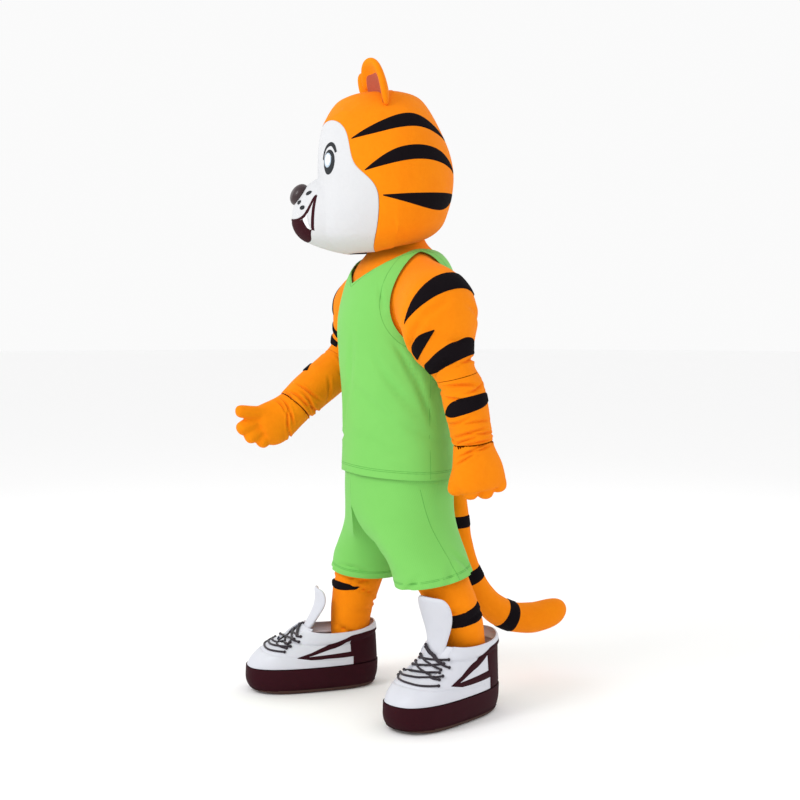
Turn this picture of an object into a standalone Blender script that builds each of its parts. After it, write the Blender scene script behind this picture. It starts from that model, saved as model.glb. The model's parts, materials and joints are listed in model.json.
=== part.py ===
"""Tiger mascot costume: head, plush suit, gloves, tail, tank jersey, shorts and padded sneakers.

Metres, +Z up. The mascot faces -Y and its left side is +X. Heights in the tables are over the floor,
and an empty then lowers everything so that the origin lies between the wearer's shoulders.
An angle on a ring is in degrees: 0 is the front, 90 the mascot's left side and 180 the back.
"""
import math

import bpy
from mathutils import Matrix, Vector

SHOULDER_HEIGHT = 1.36     # of the origin over the floor
SEAM = 0.0004              # between two pieces that are sewn together
LIFT = 0.004               # under a piece that lies on another
PLUSH = 0.005              # wall of the suit
FOAM = 0.010               # wall of the head: plush on foam
KNIT = 0.002               # wall of the jersey and shorts
VINYL = 0.004              # wall of the shoe uppers
APPLIQUE = 0.002           # wall of a stripe or an overlay
UNDER_JERSEY = -0.010      # level of the suit under the jersey's face
SHORTS_LEVEL = -0.005      # level of the shorts' face at the waist, under the jersey's
ARMHOLE = {"height": 1.249, "half_height": 0.149, "front_reach": 40, "back_reach": 32}
CROTCH = 0.62              # height where the legs part
HIP_CENTRE = 0.105         # of each leg's top ring, from the middle
HEAD_TURN = -20            # degrees about Z, towards the mascot's right
HEAD_AXIS = (0.0, -0.041)  # place of the head's upright axis
LIMB_SIDES = 16            # facets round an arm or a leg
GLOVE_SIDES = 12           # facets round a glove
STRIPE_STEP = 20           # degrees between two rows of a stripe's points
FOXING = 0.080             # height of the shoe's dark sole band

COLOURS = {
    "orange": ((0.90, 0.28, 0.01, 1), 0.95), "black": ((0.012, 0.012, 0.018, 1), 0.95),
    "white": ((0.88, 0.88, 0.90, 1), 0.95), "green": ((0.18, 0.62, 0.12, 1), 0.7),
    "vinyl": ((0.82, 0.83, 0.88, 1), 0.4), "maroon": ((0.09, 0.02, 0.04, 1), 0.5),
    "lace": ((0.07, 0.03, 0.07, 1), 0.9), "nose": ((0.06, 0.01, 0.02, 1), 0.2),
    "mouth": ((0.20, 0.02, 0.05, 1), 0.8), "lining": ((0.45, 0.10, 0.06, 1), 0.95),
    "tooth": ((0.90, 0.90, 0.88, 1), 0.5), "eye": ((0.02, 0.02, 0.02, 1), 0.3),
}

TORSO = [  # height, half width, front, back
    (0.58, 0.212, 0.172, 0.165),
    (0.69, 0.215, 0.175, 0.165),
    (0.80, 0.213, 0.172, 0.160),
    (0.95, 0.215, 0.178, 0.160),
    (1.08, 0.220, 0.190, 0.165),
    (1.20, 0.222, 0.190, 0.170),
    (1.28, 0.216, 0.170, 0.168),
    (1.34, 0.200, 0.146, 0.158),
    (1.37, 0.183, 0.128, 0.145),
    (1.39, 0.164, 0.114, 0.132),
    (1.402, 0.140, 0.104, 0.119),
    (1.412, 0.118, 0.099, 0.106),
    (1.43, 0.103, 0.097, 0.088),
    (1.46, 0.096, 0.096, 0.075),
    (1.50, 0.094, 0.096, 0.070),
]

HEAD = [  # height, front, back, half width
    (1.385, 0.150, 0.090, 0.120),
    (1.400, 0.200, 0.112, 0.148),
    (1.420, 0.228, 0.135, 0.170),
    (1.450, 0.241, 0.158, 0.190),
    (1.500, 0.240, 0.184, 0.210),
    (1.550, 0.229, 0.198, 0.220),
    (1.600, 0.219, 0.206, 0.225),
    (1.650, 0.217, 0.205, 0.225),
    (1.700, 0.216, 0.193, 0.220),
    (1.750, 0.209, 0.171, 0.207),
    (1.800, 0.200, 0.145, 0.185),
    (1.830, 0.180, 0.127, 0.163),
    (1.855, 0.155, 0.108, 0.137),
    (1.877, 0.118, 0.075, 0.100),
    (1.889, 0.000, 0.000, 0.000),
]


# ---- reading tables -------------------------------------------------------------------------------

def read(table, key):
    """The other columns at a value of the first one, on a smooth line through the rows."""
    rows = table if table[0][0] < table[-1][0] else table[::-1]
    key = min(max(key, rows[0][0]), rows[-1][0])
    i = next((k for k in range(len(rows) - 2) if key <= rows[k + 1][0]), len(rows) - 2)
    low, high = rows[i], rows[i + 1]
    before, after = rows[max(i - 1, 0)], rows[min(i + 2, len(rows) - 1)]
    span = high[0] - low[0]
    t = (key - low[0]) / span
    values = []
    for c in range(1, len(low)):
        slope_in = (high[c] - before[c]) / (high[0] - before[0]) * span
        slope_out = (after[c] - low[c]) / (after[0] - low[0]) * span
        values.append(hermite(low[c], slope_in, high[c], slope_out, t))
    return values


def hermite(a, slope_a, b, slope_b, t):
    """A value, or a point, between a and b that leaves and arrives with the given slopes."""
    return (a * (2 * t**3 - 3 * t**2 + 1) + slope_a * (t**3 - 2 * t**2 + t)
            + b * (3 * t**2 - 2 * t**3) + slope_b * (t**3 - t**2))


def between(a, b, count):
    return [a + (b - a) * k / count for k in range(count + 1)]


# ---- surfaces -------------------------------------------------------------------------------------

class Surface:
    """A curved face: place(angle, along) gives its points and core(along) a point inside it."""

    def __init__(self, place, core, step=0.002):
        self.place, self.core, self.step = place, core, step

    def at(self, angle, along, level=0.0):
        spot = self.place(angle, along)
        across = self.place(angle + 1, along) - self.place(angle - 1, along)
        up = self.place(angle, along + self.step) - self.place(angle, along - self.step)
        out = across.cross(up)
        inside = self.core(along)
        if out.length < 1e-9:
            out = spot - inside
        out.normalize()
        if out.dot(spot - inside) < 0:
            out = -out
        return spot + out * level, out


def oval(angle, half_width, front, back):
    turn = math.radians(angle)
    deep = front if math.cos(turn) > 0 else back
    return Vector((half_width * math.sin(turn), -deep * math.cos(turn), 0))


def torso_place(angle, height):
    return oval(angle, *read(TORSO, height)) + Vector((0, 0, height))


def head_place(angle, height):
    front, back, half_width = read(HEAD, height)
    spot = oval(angle, half_width, front, back) + Vector((0, 0, height))
    return Matrix.Rotation(math.radians(HEAD_TURN), 3, "Z") @ spot + Vector((*HEAD_AXIS, 0))


def head_core(height):
    return Vector((*HEAD_AXIS, min(height, 1.84) - 0.02 if height > 1.6 else height + 0.02))


torso = Surface(torso_place, lambda height: Vector((0, 0, height - 0.02)))
head = Surface(head_place, head_core)


class Loft(Surface):
    """A tube through rings, each a function of the angle; along is metres from the first ring."""

    def __init__(self, rings):
        self.rings, self.stations = rings, [0.0]
        for low, high in zip(rings, rings[1:]):
            steps = [(high(angle) - low(angle)).length for angle in range(0, 360, 45)]
            self.stations.append(self.stations[-1] + sum(steps) / len(steps))
        super().__init__(self.loft_place, self.loft_core)

    def loft_place(self, angle, along):
        rows = [(station, ring(angle)) for station, ring in zip(self.stations, self.rings)]
        return read(rows, along)[0]

    def loft_core(self, along):
        return sum((self.loft_place(angle, along) for angle in range(0, 360, 45)), Vector()) / 8

    def rows_between(self, start, end, extra=1):
        """Places along the tube from start to end: the rings there and extra ones between them."""
        stops = [start] + [s for s in self.stations if start + 0.008 < s < end - 0.008] + [end]
        filled = [low + (high - low) * k / (extra + 1) for low, high in zip(stops, stops[1:])
                  for k in range(extra + 1 if high - low > 0.065 else 1)]
        return filled + [end]


# ---- sheets and solids ----------------------------------------------------------------------------

class Sheet:
    """Faces of a sheet or of a closed form, as points with their outward directions."""

    def __init__(self):
        self.points, self.outs, self.faces, self.known = [], [], [], {}

    def point(self, spot, out):
        key = tuple(round(c * 1e5) for c in spot)
        if key not in self.known:
            self.known[key] = len(self.points)
            self.points.append(spot)
            self.outs.append(out)
        return self.known[key]

    def grid(self, rows):
        """Quads between rows of (point, outward direction); a row that meets in a point is a pole."""
        for low, high in zip(rows, rows[1:]):
            for j in range(len(low) - 1):
                corners = [low[j], low[j + 1], high[j + 1], high[j]]
                face = list(dict.fromkeys(self.point(*corner) for corner in corners))
                if len(face) > 2:
                    self.faces.append(self.outward(face))
        return self

    def outward(self, face):
        a, b, c = (self.points[k] for k in (face[0], face[1], face[2]))
        facing = (b - a).cross(c - a)
        if len(face) == 4:
            facing += (c - a).cross(self.points[face[3]] - a)
        wanted = sum((self.outs[k] for k in face), Vector())
        return face if facing.dot(wanted) > 0 else face[::-1]

    def split(self, face):
        """A quad as two triangles across its shorter diagonal, so that both layers of a wall bend alike."""
        if len(face) < 4:
            return [face]
        a, b, c, d = face
        spots = self.points
        if (spots[a] - spots[c]).length <= (spots[b] - spots[d]).length:
            return [[a, b, c], [a, c, d]]
        return [[a, b, d], [b, c, d]]

    def wall(self, name, thickness, colour):
        """The sheet with its thickness behind it, closed along every edge."""
        count = len(self.points)
        self.faces = [half for face in self.faces for half in self.split(face)]
        inner = [spot - out * thickness for spot, out in zip(self.points, self.outs)]
        faces = list(self.faces) + [[k + count for k in reversed(face)] for face in self.faces]
        edges = [(a, b) for face in self.faces for a, b in zip(face, face[1:] + face[:1])]
        both = set(edges)
        faces += [[b, a, a + count, b + count] for a, b in edges if (b, a) not in both]
        return add(name, self.points + inner, faces, colour)

    def solid(self, name, colour):
        return add(name, self.points, self.faces, colour)


def material(colour):
    if colour in bpy.data.materials:
        return bpy.data.materials[colour]
    made = bpy.data.materials.new(colour)
    made.use_nodes = True
    shader = made.node_tree.nodes["Principled BSDF"]
    shader.inputs["Base Color"].default_value, shader.inputs["Roughness"].default_value = COLOURS[colour]
    return made


def add(name, points, faces, colour):
    mesh = bpy.data.meshes.new(name)
    mesh.from_pydata([tuple(spot) for spot in points], [], faces)
    mesh.shade_smooth()
    mesh.set_sharp_from_angle(angle=math.radians(40))
    piece = bpy.data.objects.new(name, mesh)
    bpy.context.scene.collection.objects.link(piece)
    own = material(colour).copy()
    own.name = name
    mesh.materials.append(own)
    piece.parent = floor_frame
    return piece


def rows_on(surface, edges, columns, level, side=1):
    """Rows of points between two edges; an edge row is start angle, start along, end angle, end along."""
    rows = []
    for start, start_along, end, end_along in edges:
        shares = between(0, 1, columns)
        rows.append([surface.at(side * (start + (end - start) * t), start_along + (end_along - start_along) * t,
                                level) for t in shares])
    return rows


def patch(surface, outline, columns, level, step=STRIPE_STEP):
    """Rows of points of a stripe; an outline row is angle, low edge, high edge along the surface."""
    count = math.ceil(abs(outline[-1][0] - outline[0][0]) / step)
    rows = []
    for angle in between(outline[0][0], outline[-1][0], count):
        low, high = read(outline, angle)
        rows.append([surface.at(angle, low + (high - low) * t, level) for t in between(0, 1, columns)])
    return rows


def rings_on(surface, alongs, columns, level=0.0):
    return [[surface.at(angle, along, level) for angle in between(0, 360, columns)] for along in alongs]


def stuffed(name, surface, alongs, columns, colour, level=0.0):
    """A closed solid through the rings of a surface, with a flat cap at each end."""
    rows = rings_on(surface, alongs, columns, level)
    caps = []
    for row in (rows[0], rows[-1]):
        middle = sum((spot for spot, out in row[:-1]), Vector()) / columns
        caps.append(middle)
    ends = [(caps[0] - caps[1]).normalized(), (caps[1] - caps[0]).normalized()]
    first = [[(caps[0], ends[0])] * len(rows[0]), [(spot, ends[0]) for spot, out in rows[0]]]
    last = [[(spot, ends[1]) for spot, out in rows[-1]], [(caps[1], ends[1])] * len(rows[-1])]
    sheet = Sheet()
    sheet.grid(rows)
    sheet.grid(first)
    sheet.grid(last)
    return sheet.solid(name, colour)


def frame_ring(centre, wide, deep, lean, swing):
    """A ring of a limb: lean lifts its outer side, swing tips its front up, both in degrees."""
    lean, swing = math.radians(lean), math.radians(swing)
    across = Vector((math.cos(lean), 0, math.sin(lean))) * wide
    forward = Vector((0, -math.cos(swing), math.sin(swing))) * deep

    def ring(angle):
        turn = math.radians(angle)
        return centre + across * math.sin(turn) + forward * math.cos(turn)
    return ring


def mirrored(ring):
    def other(angle):
        spot = ring(-angle)
        return Vector((-spot.x, spot.y, spot.z))
    return other


# ---- torso: suit and jersey ------------------------------------------------------------------------

NECK_FRONT = [(0, 1.08), (0, 1.13), (0, 1.18), (0, 1.235), (0, 1.30), (20, 1.334), (40, 1.364), (66, 1.392),
              (90, 1.408)]
NECK_BACK = [(180, 1.08), (180, 1.14), (180, 1.20), (180, 1.26), (180, 1.32), (180, 1.362), (180, 1.396),
             (140, 1.402), (90, 1.408)]
SUIT_MIDDLE = [1.08, 1.13, 1.18, 1.235, 1.29, 1.34, 1.375, 1.40, 1.42]
SUIT_NECK = [(1.44, 1.43), (1.465, 1.46), (1.49, 1.49)]   # middle and side heights of the neck's rows
JERSEY_HEM = {"front": 0.722, "side": 0.708, "back": 0.712}
JERSEY_BODY = [0.82, 0.95]                                 # heights of the rows over the hem
SUIT_BODY = [CROTCH + SEAM, 0.78, 0.95]


def armhole(turn, grow=0.0):
    """Angle and height on the torso of the left armhole: turn 0 is its front, 90 its top, 180 its back."""
    turn = math.radians(turn)
    reach = ARMHOLE["front_reach"] if math.cos(turn) > 0 else ARMHOLE["back_reach"]
    reach += math.degrees(grow / 0.19)
    return 90 - reach * math.cos(turn), ARMHOLE["height"] + (ARMHOLE["half_height"] + grow) * math.sin(turn)


def torso_edges(body, middles, grow, back):
    """Edge rows of half a front or back: from the middle, or the neck's edge, to the side or the armhole."""
    middle, side = (180, 90.06) if back else (0, 89.94)
    edges = [(middle, low, side, high) for low, high in body]
    for k, (angle, height) in enumerate(middles):
        turn = 270 - 22.5 * k if back else -90 + 22.5 * k
        end, end_height = armhole(turn, grow)
        end = end if abs(end - 90) > 0.06 else side
        angle = angle if angle != 90 else side
        edges.append((angle, height, end, end_height))
    return edges


def make_torso():
    for back, name in ((False, "front"), (True, "back")):
        middle = 180 if back else 0
        jersey, suit = Sheet(), Sheet()
        body = [(JERSEY_HEM[name], JERSEY_HEM["side"])] + [(z, z) for z in JERSEY_BODY]
        jersey_edges = torso_edges(body, NECK_BACK if back else NECK_FRONT, 0.0, back)
        suit_edges = torso_edges([(z, z) for z in SUIT_BODY], [(middle, z) for z in SUIT_MIDDLE], 0.0135, back)
        side = 90.06 if back else 89.94
        suit_edges += [(middle, low, side, high) for low, high in SUIT_NECK]
        for half in (1, -1):
            jersey.grid(rows_on(torso, jersey_edges, 5, 0.0, half))
            suit.grid(rows_on(torso, suit_edges, 4, UNDER_JERSEY, half))
        jersey.wall("jersey_" + name, KNIT, "green")
        suit.wall("suit_" + name, PLUSH, "orange")


# ---- arms ------------------------------------------------------------------------------------------

ARMS = {  # x, y, z, half across, half deep, lean, swing of each ring from the shoulder to the wrist
    "left": [
        (0.288, -0.012, 1.213, 0.132, 0.124, 65, 0),
        (0.314, -0.012, 1.143, 0.108, 0.111, 45, 0),
        (0.312, 0.006, 1.090, 0.082, 0.082, 28, -8),
        (0.303, 0.030, 1.045, 0.066, 0.062, 10, -12),
        (0.312, 0.054, 1.000, 0.064, 0.067, 0, -15),
        (0.315, 0.067, 0.940, 0.064, 0.068, 0, -12),
        (0.315, 0.081, 0.880, 0.064, 0.064, 0, -10),
        (0.315, 0.090, 0.832, 0.061, 0.061, 0, -8),
    ],
    "right": [
        (0.288, 0.020, 1.213, 0.132, 0.124, 65, 5),
        (0.312, 0.010, 1.150, 0.108, 0.110, 45, 12),
        (0.312, -0.012, 1.100, 0.084, 0.088, 28, 22),
        (0.305, -0.042, 1.058, 0.070, 0.074, 10, 35),
        (0.308, -0.088, 1.020, 0.068, 0.072, 0, 42),
        (0.312, -0.146, 0.976, 0.067, 0.070, 0, 42),
        (0.315, -0.192, 0.938, 0.066, 0.068, 0, 43),
        (0.316, -0.230, 0.905, 0.062, 0.064, 0, 44),
    ],
}
HANDS = {  # the same, for the palm from the wrist to the knuckles
    "left": [
        (0.316, 0.096, 0.795, 0.056, 0.070, 0, -8),
        (0.318, 0.106, 0.755, 0.050, 0.085, 0, -10),
        (0.318, 0.114, 0.715, 0.047, 0.087, 0, -10),
        (0.318, 0.117, 0.688, 0.038, 0.068, 0, -10),
    ],
    "right": [
        (0.318, -0.256, 0.884, 0.055, 0.066, 0, 48),
        (0.322, -0.288, 0.860, 0.047, 0.076, 0, 54),
        (0.324, -0.322, 0.840, 0.043, 0.078, 0, 58),
        (0.325, -0.347, 0.827, 0.034, 0.060, 0, 60),
    ],
}
FINGERS = {  # x, y, z of the root, x, y, z of the tip's centre, radius; the thumb comes first
    "left": [
        (0.306, 0.058, 0.755, 0.298, 0.040, 0.692, 0.026),
        (0.318, 0.084, 0.725, 0.312, 0.084, 0.680, 0.028),
        (0.320, 0.128, 0.725, 0.316, 0.133, 0.680, 0.028),
        (0.320, 0.164, 0.735, 0.318, 0.178, 0.698, 0.027),
    ],
    "right": [
        (0.318, -0.335, 0.880, 0.312, -0.418, 0.893, 0.024),
        (0.325, -0.365, 0.855, 0.322, -0.410, 0.838, 0.026),
        (0.325, -0.350, 0.830, 0.322, -0.382, 0.808, 0.026),
        (0.325, -0.325, 0.812, 0.322, -0.342, 0.790, 0.025),
    ],
}
ELBOW_SEAM = 0.024         # of the sleeve's lower edge past the elbow's ring
SLEEVE_STRIPES = {  # angle, low edge, high edge along the arm
    "crescent": [(0, 0.176, 0.178), (30, 0.158, 0.186), (65, 0.142, 0.182), (100, 0.128, 0.172),
                 (128, 0.112, 0.160), (150, 0.098, 0.148)],
    "dart": [(-22, 0.225, 0.262), (0, 0.228, 0.262), (25, 0.232, 0.256), (52, 0.238, 0.240)],
    "elbow": [(-20, 0.285, 0.322), (10, 0.285, 0.322), (40, 0.278, 0.316), (75, 0.270, 0.310),
              (110, 0.262, 0.304), (150, 0.256, 0.298)],
    "forearm": [(-12, 0.452, 0.456), (15, 0.420, 0.462), (50, 0.405, 0.456), (90, 0.405, 0.450),
                (125, 0.408, 0.446), (155, 0.414, 0.440)],
}


def arm_surface(side):
    """The arm from its edge under the jersey's armhole to the wrist."""
    way = 1 if side == "left" else -1

    def hole_ring(grow):
        def ring(angle):
            around, height = armhole(angle, grow)
            return torso.at(around, height, UNDER_JERSEY)[0]
        return ring

    rings = [hole_ring(0.010), hole_ring(-0.010)]
    rings += [frame_ring(Vector(row[:3]), *row[3:]) for row in ARMS[side]]
    return Loft(rings if way > 0 else [mirrored(ring) for ring in rings])


def capsule(name, root, tip, radius):
    """A rounded finger, hidden because it only shapes the glove."""
    axis = tip - root
    turn = axis.to_track_quat("Z", "Y").to_matrix()
    rows = []
    profile = [(-radius, 0.0), (-radius * 0.6, radius * 0.8), (0, radius)]
    profile += [(axis.length, radius), (axis.length + radius * 0.6, radius * 0.8), (axis.length + radius, 0.0)]
    for height, width in profile:
        ring = []
        for angle in between(0, 360, 8):
            a = math.radians(angle)
            spot = root + turn @ Vector((width * math.cos(a), width * math.sin(a), height))
            ring.append((spot, (spot - root - axis / 2).normalized()))
        rows.append(ring)
    piece = Sheet().grid(rows).solid(name, "orange")
    return guide(piece)


def guide(piece):
    piece.hide_render = True
    piece.display_type = "WIRE"
    return piece


def cut_or_join(piece, other, operation):
    modifier = piece.modifiers.new(other.name, "BOOLEAN")
    modifier.operation, modifier.object, modifier.solver = operation, other, "EXACT"


def make_arm(side):
    way = 1 if side == "left" else -1
    arm = arm_surface(side)
    elbow = arm.stations[5] + ELBOW_SEAM
    wrist = arm.stations[-1]
    sleeve = rings_on(arm, arm.rows_between(0.0, elbow - 2 * SEAM), LIMB_SIDES)
    Sheet().grid(sleeve).wall("sleeve_" + side, PLUSH, "orange")
    forearm = rings_on(arm, arm.rows_between(elbow + 2 * SEAM, wrist, 0), LIMB_SIDES)
    Sheet().grid(forearm).wall("forearm_" + side, PLUSH, "orange")
    for name, outline in SLEEVE_STRIPES.items():
        columns, step = (2, STRIPE_STEP / 2) if name == "crescent" else (1, STRIPE_STEP)
        rows = patch(arm, [(way * angle, low, high) for angle, low, high in outline], columns,
                     LIFT + APPLIQUE, step)
        Sheet().grid(rows).wall("stripe_" + name + "_" + side, APPLIQUE, "black")

    wrist_row = (*ARMS[side][-1],)
    rings = [frame_ring(Vector(row[:3]), *row[3:]) for row in [wrist_row] + HANDS[side]]
    hand = Loft(rings if way > 0 else [mirrored(ring) for ring in rings])
    palm_end = hand.stations[-1]
    glove = stuffed("glove_" + side, hand, hand.rows_between(SEAM, palm_end, 0), GLOVE_SIDES, "orange")
    for k, row in enumerate(FINGERS[side]):
        root, tip = Vector(row[0:3]), Vector(row[3:6])
        root.x, tip.x = way * root.x, way * tip.x
        cut_or_join(glove, capsule(f"finger_{side}_{k}", root, tip, row[6]), "UNION")
    hollow_rows = [hand.stations[0] - 0.01] + hand.rows_between(0.0, palm_end - 0.03, 0)[1:]
    hollow = guide(hollow_solid("hollow_" + side, hand, hollow_rows, GLOVE_SIDES, PLUSH))
    cut_or_join(glove, hollow, "DIFFERENCE")


def hollow_solid(name, surface, alongs, columns, wall):
    """The inside of a tube, started a little before its mouth so that it cuts the mouth open."""
    start = surface.core(0.0)
    back = (start - surface.core(0.02)).normalized() * 0.01
    rows = rings_on(surface, [0.0] + alongs[1:], columns, -wall)
    first = [(spot + back, out) for spot, out in rows[0]]
    rows = [first] + rows[1:]
    ends = []
    for row, way in ((rows[0], -1), (rows[-1], 1)):
        middle = sum((spot for spot, out in row[:-1]), Vector()) / columns
        out = (surface.core(0.04) - start).normalized() * way
        ends.append([[(middle, out)] * len(row), [(spot, out) for spot, _ in row]])
    sheet = Sheet().grid(rows)
    sheet.grid(ends[0])
    sheet.grid(ends[1][::-1])
    return sheet.solid(name, "orange")


# ---- hips and legs ---------------------------------------------------------------------------------

LEGS = {  # height, x, y, half across, half deep
    "left": [
        (0.120, 0.246, 0.104, 0.060, 0.062),
        (0.220, 0.249, 0.098, 0.066, 0.068),
        (0.300, 0.249, 0.076, 0.076, 0.078),
        (0.370, 0.235, 0.046, 0.083, 0.086),
        (0.430, 0.205, 0.028, 0.086, 0.092),
        (0.510, 0.165, 0.012, 0.090, 0.104),
        (CROTCH, 0.114, 0.000, 0.094, 0.145),
    ],
    "right": [
        (0.120, 0.184, -0.094, 0.060, 0.062),
        (0.220, 0.183, -0.096, 0.063, 0.064),
        (0.300, 0.182, -0.076, 0.076, 0.078),
        (0.370, 0.184, -0.058, 0.081, 0.084),
        (0.430, 0.176, -0.040, 0.086, 0.092),
        (0.510, 0.157, -0.012, 0.090, 0.104),
        (CROTCH, 0.114, 0.000, 0.094, 0.145),
    ],
}
SHORTS = {
    "left": [
        (0.360, 0.210, 0.022, 0.128, 0.122),
        (0.450, 0.190, 0.016, 0.125, 0.126),
        (0.520, 0.165, 0.008, 0.120, 0.134),
        (CROTCH, 0.120, 0.000, 0.110, 0.158),
    ],
    "right": [
        (0.340, 0.190, -0.034, 0.124, 0.124),
        (0.450, 0.178, -0.018, 0.122, 0.126),
        (0.520, 0.158, -0.005, 0.118, 0.131),
        (CROTCH, 0.120, 0.000, 0.110, 0.158),
    ],
}
SHORTS_HEM = {"left": (0.408, 0.05, 0.18), "right": (0.376, 0.12, 0.0)}   # middle, rise outwards and to the back
LEG_STRIPES = {  # angle, low edge, high edge
    "left": [(-20, 0.276, 0.314), (20, 0.272, 0.310), (60, 0.276, 0.314), (100, 0.286, 0.328),
             (150, 0.298, 0.346)],
    "right": [(-40, 0.325, 0.345), (0, 0.318, 0.345), (40, 0.318, 0.340), (75, 0.325, 0.328)],
}


def half_ring(angle, level):
    """Distance from a hip's centre to the torso's ring at the crotch, or to the wall between the legs."""
    half_width, front, back = (size + level for size in read(TORSO, CROTCH))
    across, deep = math.sin(math.radians(angle)), -math.cos(math.radians(angle))
    depth = front if deep < 0 else back
    a = (across / half_width) ** 2 + (deep / depth) ** 2
    b = HIP_CENTRE * across / half_width ** 2
    c = (HIP_CENTRE / half_width) ** 2 - 1
    reach = (-b + math.sqrt(b * b - a * c)) / a
    wall = SEAM / 2 + SHORTS_LEVEL - level
    return min(reach, (HIP_CENTRE - wall) / -across) if across < 0 else reach


def leg_surface(side, table, level):
    """A leg whose top is half of the torso's ring, closed by a wall at the middle."""
    way = 1 if side == "left" else -1

    def centre(height):
        x, y = read(table, height)[:2]
        share = 1 - smooth_step((height - 0.43) / (CROTCH - 0.43))
        return Vector((HIP_CENTRE + (x - HIP_CENTRE) * share, y * share, height)), share

    def place(angle, height):
        middle, share = centre(height)
        wide, deep = read(table, height)[2:]
        turn = math.radians(way * angle)
        across, forward = math.sin(turn), -math.cos(turn)
        own = 1 / math.sqrt((across / wide) ** 2 + (forward / deep) ** 2)
        reach = half_ring(way * angle, level) * (1 - share) + own * share
        spot = middle + Vector((across, forward, 0)) * reach
        return Vector((way * spot.x, spot.y, spot.z))

    def core(height):
        middle = centre(height)[0]
        return Vector((way * middle.x, middle.y, middle.z))
    return Surface(place, core)


def smooth_step(t):
    t = min(max(t, 0), 1)
    return t * t * (3 - 2 * t)


def make_leg(side):
    leg = leg_surface(side, LEGS[side], UNDER_JERSEY)
    rows = rings_on(leg, [0.13, 0.23, 0.31, 0.39, 0.47, 0.55, CROTCH - SEAM], LIMB_SIDES)
    Sheet().grid(rows).wall("leg_" + side, PLUSH, "orange")
    Sheet().grid(patch(leg, LEG_STRIPES[side], 1, LIFT + APPLIQUE)).wall("stripe_leg_" + side, APPLIQUE, "black")


def make_shorts(side):
    """Two panels of a leg, each running from the waist down to its hem round half of the thigh."""
    way = 1 if side == "left" else -1
    leg = leg_surface(side, SHORTS[side], SHORTS_LEVEL)
    half_width, front, back = (size + SHORTS_LEVEL for size in read(TORSO, CROTCH))
    hem_middle, hem_out, hem_back = SHORTS_HEM[side]
    gap = 0.08
    for name, middle, depth in (("front", 0, front), ("back", 180, back)):
        facing = 1 if name == "front" else -1
        arounds = between(middle + facing * 0.06, 90 - facing * 0.06, 5)
        hip = [[torso.at(way * a, z, SHORTS_LEVEL) for a in arounds] for z in (0.755, 0.70, 0.66, CROTCH)]
        corner = math.degrees(math.atan2(-HIP_CENTRE, facing * depth))
        start = -90 + gap if name == "front" else -90 - gap
        if name == "back":
            corner -= 0 if corner < 0 else 360
        columns = between(start, corner, 3)[:-1]
        for a in arounds:
            turn = math.radians(a)
            x, y = half_width * math.sin(turn) - HIP_CENTRE, depth * abs(math.cos(turn)) * facing
            column = math.degrees(math.atan2(x, y))
            columns.append(column - 360 if name == "back" and column > 90.01 else column)
        if name == "back":
            columns = [a if a < 0 else a - 360 for a in columns]
        rows = []
        for share in (0, 0.25, 0.5, 0.75, 1):
            row = []
            for a in columns:
                spot = leg.place(way * a, hem_middle) - leg.core(hem_middle)
                hem = hem_middle + hem_out * way * spot.x + hem_back * spot.y
                row.append(leg.at(way * a, CROTCH + (hem - CROTCH) * share))
            rows.append(row)
        sheet = Sheet()
        for j, a in enumerate(arounds):
            rows[0][len(columns) - len(arounds) + j] = hip[-1][j]
        sheet.grid(hip)
        sheet.grid(rows)
        sheet.wall(f"shorts_{side}_{name}", KNIT, "green")


# ---- tail ------------------------------------------------------------------------------------------

TAIL = [  # y, z, radius
    (0.192, 0.668, 0.026), (0.201, 0.625, 0.032), (0.207, 0.560, 0.036), (0.213, 0.480, 0.038),
    (0.232, 0.400, 0.041), (0.272, 0.310, 0.045), (0.338, 0.237, 0.050), (0.424, 0.197, 0.053),
    (0.512, 0.196, 0.054), (0.567, 0.211, 0.048), (0.594, 0.224, 0.034), (0.607, 0.231, 0.014),
]
TAIL_BANDS = {"upper": (0.110, 0.148), "middle": (0.292, 0.335), "lower": (0.500, 0.545)}


def tail_surface():
    rings = []
    for k, (y, z, radius) in enumerate(TAIL):
        before, after = TAIL[max(k - 1, 0)], TAIL[min(k + 1, len(TAIL) - 1)]
        along = Vector((0, after[0] - before[0], after[1] - before[1])).normalized()
        front = Vector((0, along.z, -along.y)) * radius
        middle, across = Vector((0, y, z)), Vector((radius, 0, 0))
        rings.append(lambda angle, m=middle, f=front, a=across: m + f * math.cos(math.radians(angle))
                     + a * math.sin(math.radians(angle)))
    return Loft(rings)


def make_tail():
    tail = tail_surface()
    stuffed("tail", tail, tail.stations, 12, "orange")
    for name, (start, end) in TAIL_BANDS.items():
        rows = rings_on(tail, between(start, end, 1), 12, LIFT + APPLIQUE)
        Sheet().grid(rows).wall("tail_band_" + name, APPLIQUE, "black")


# ---- head ------------------------------------------------------------------------------------------

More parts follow.
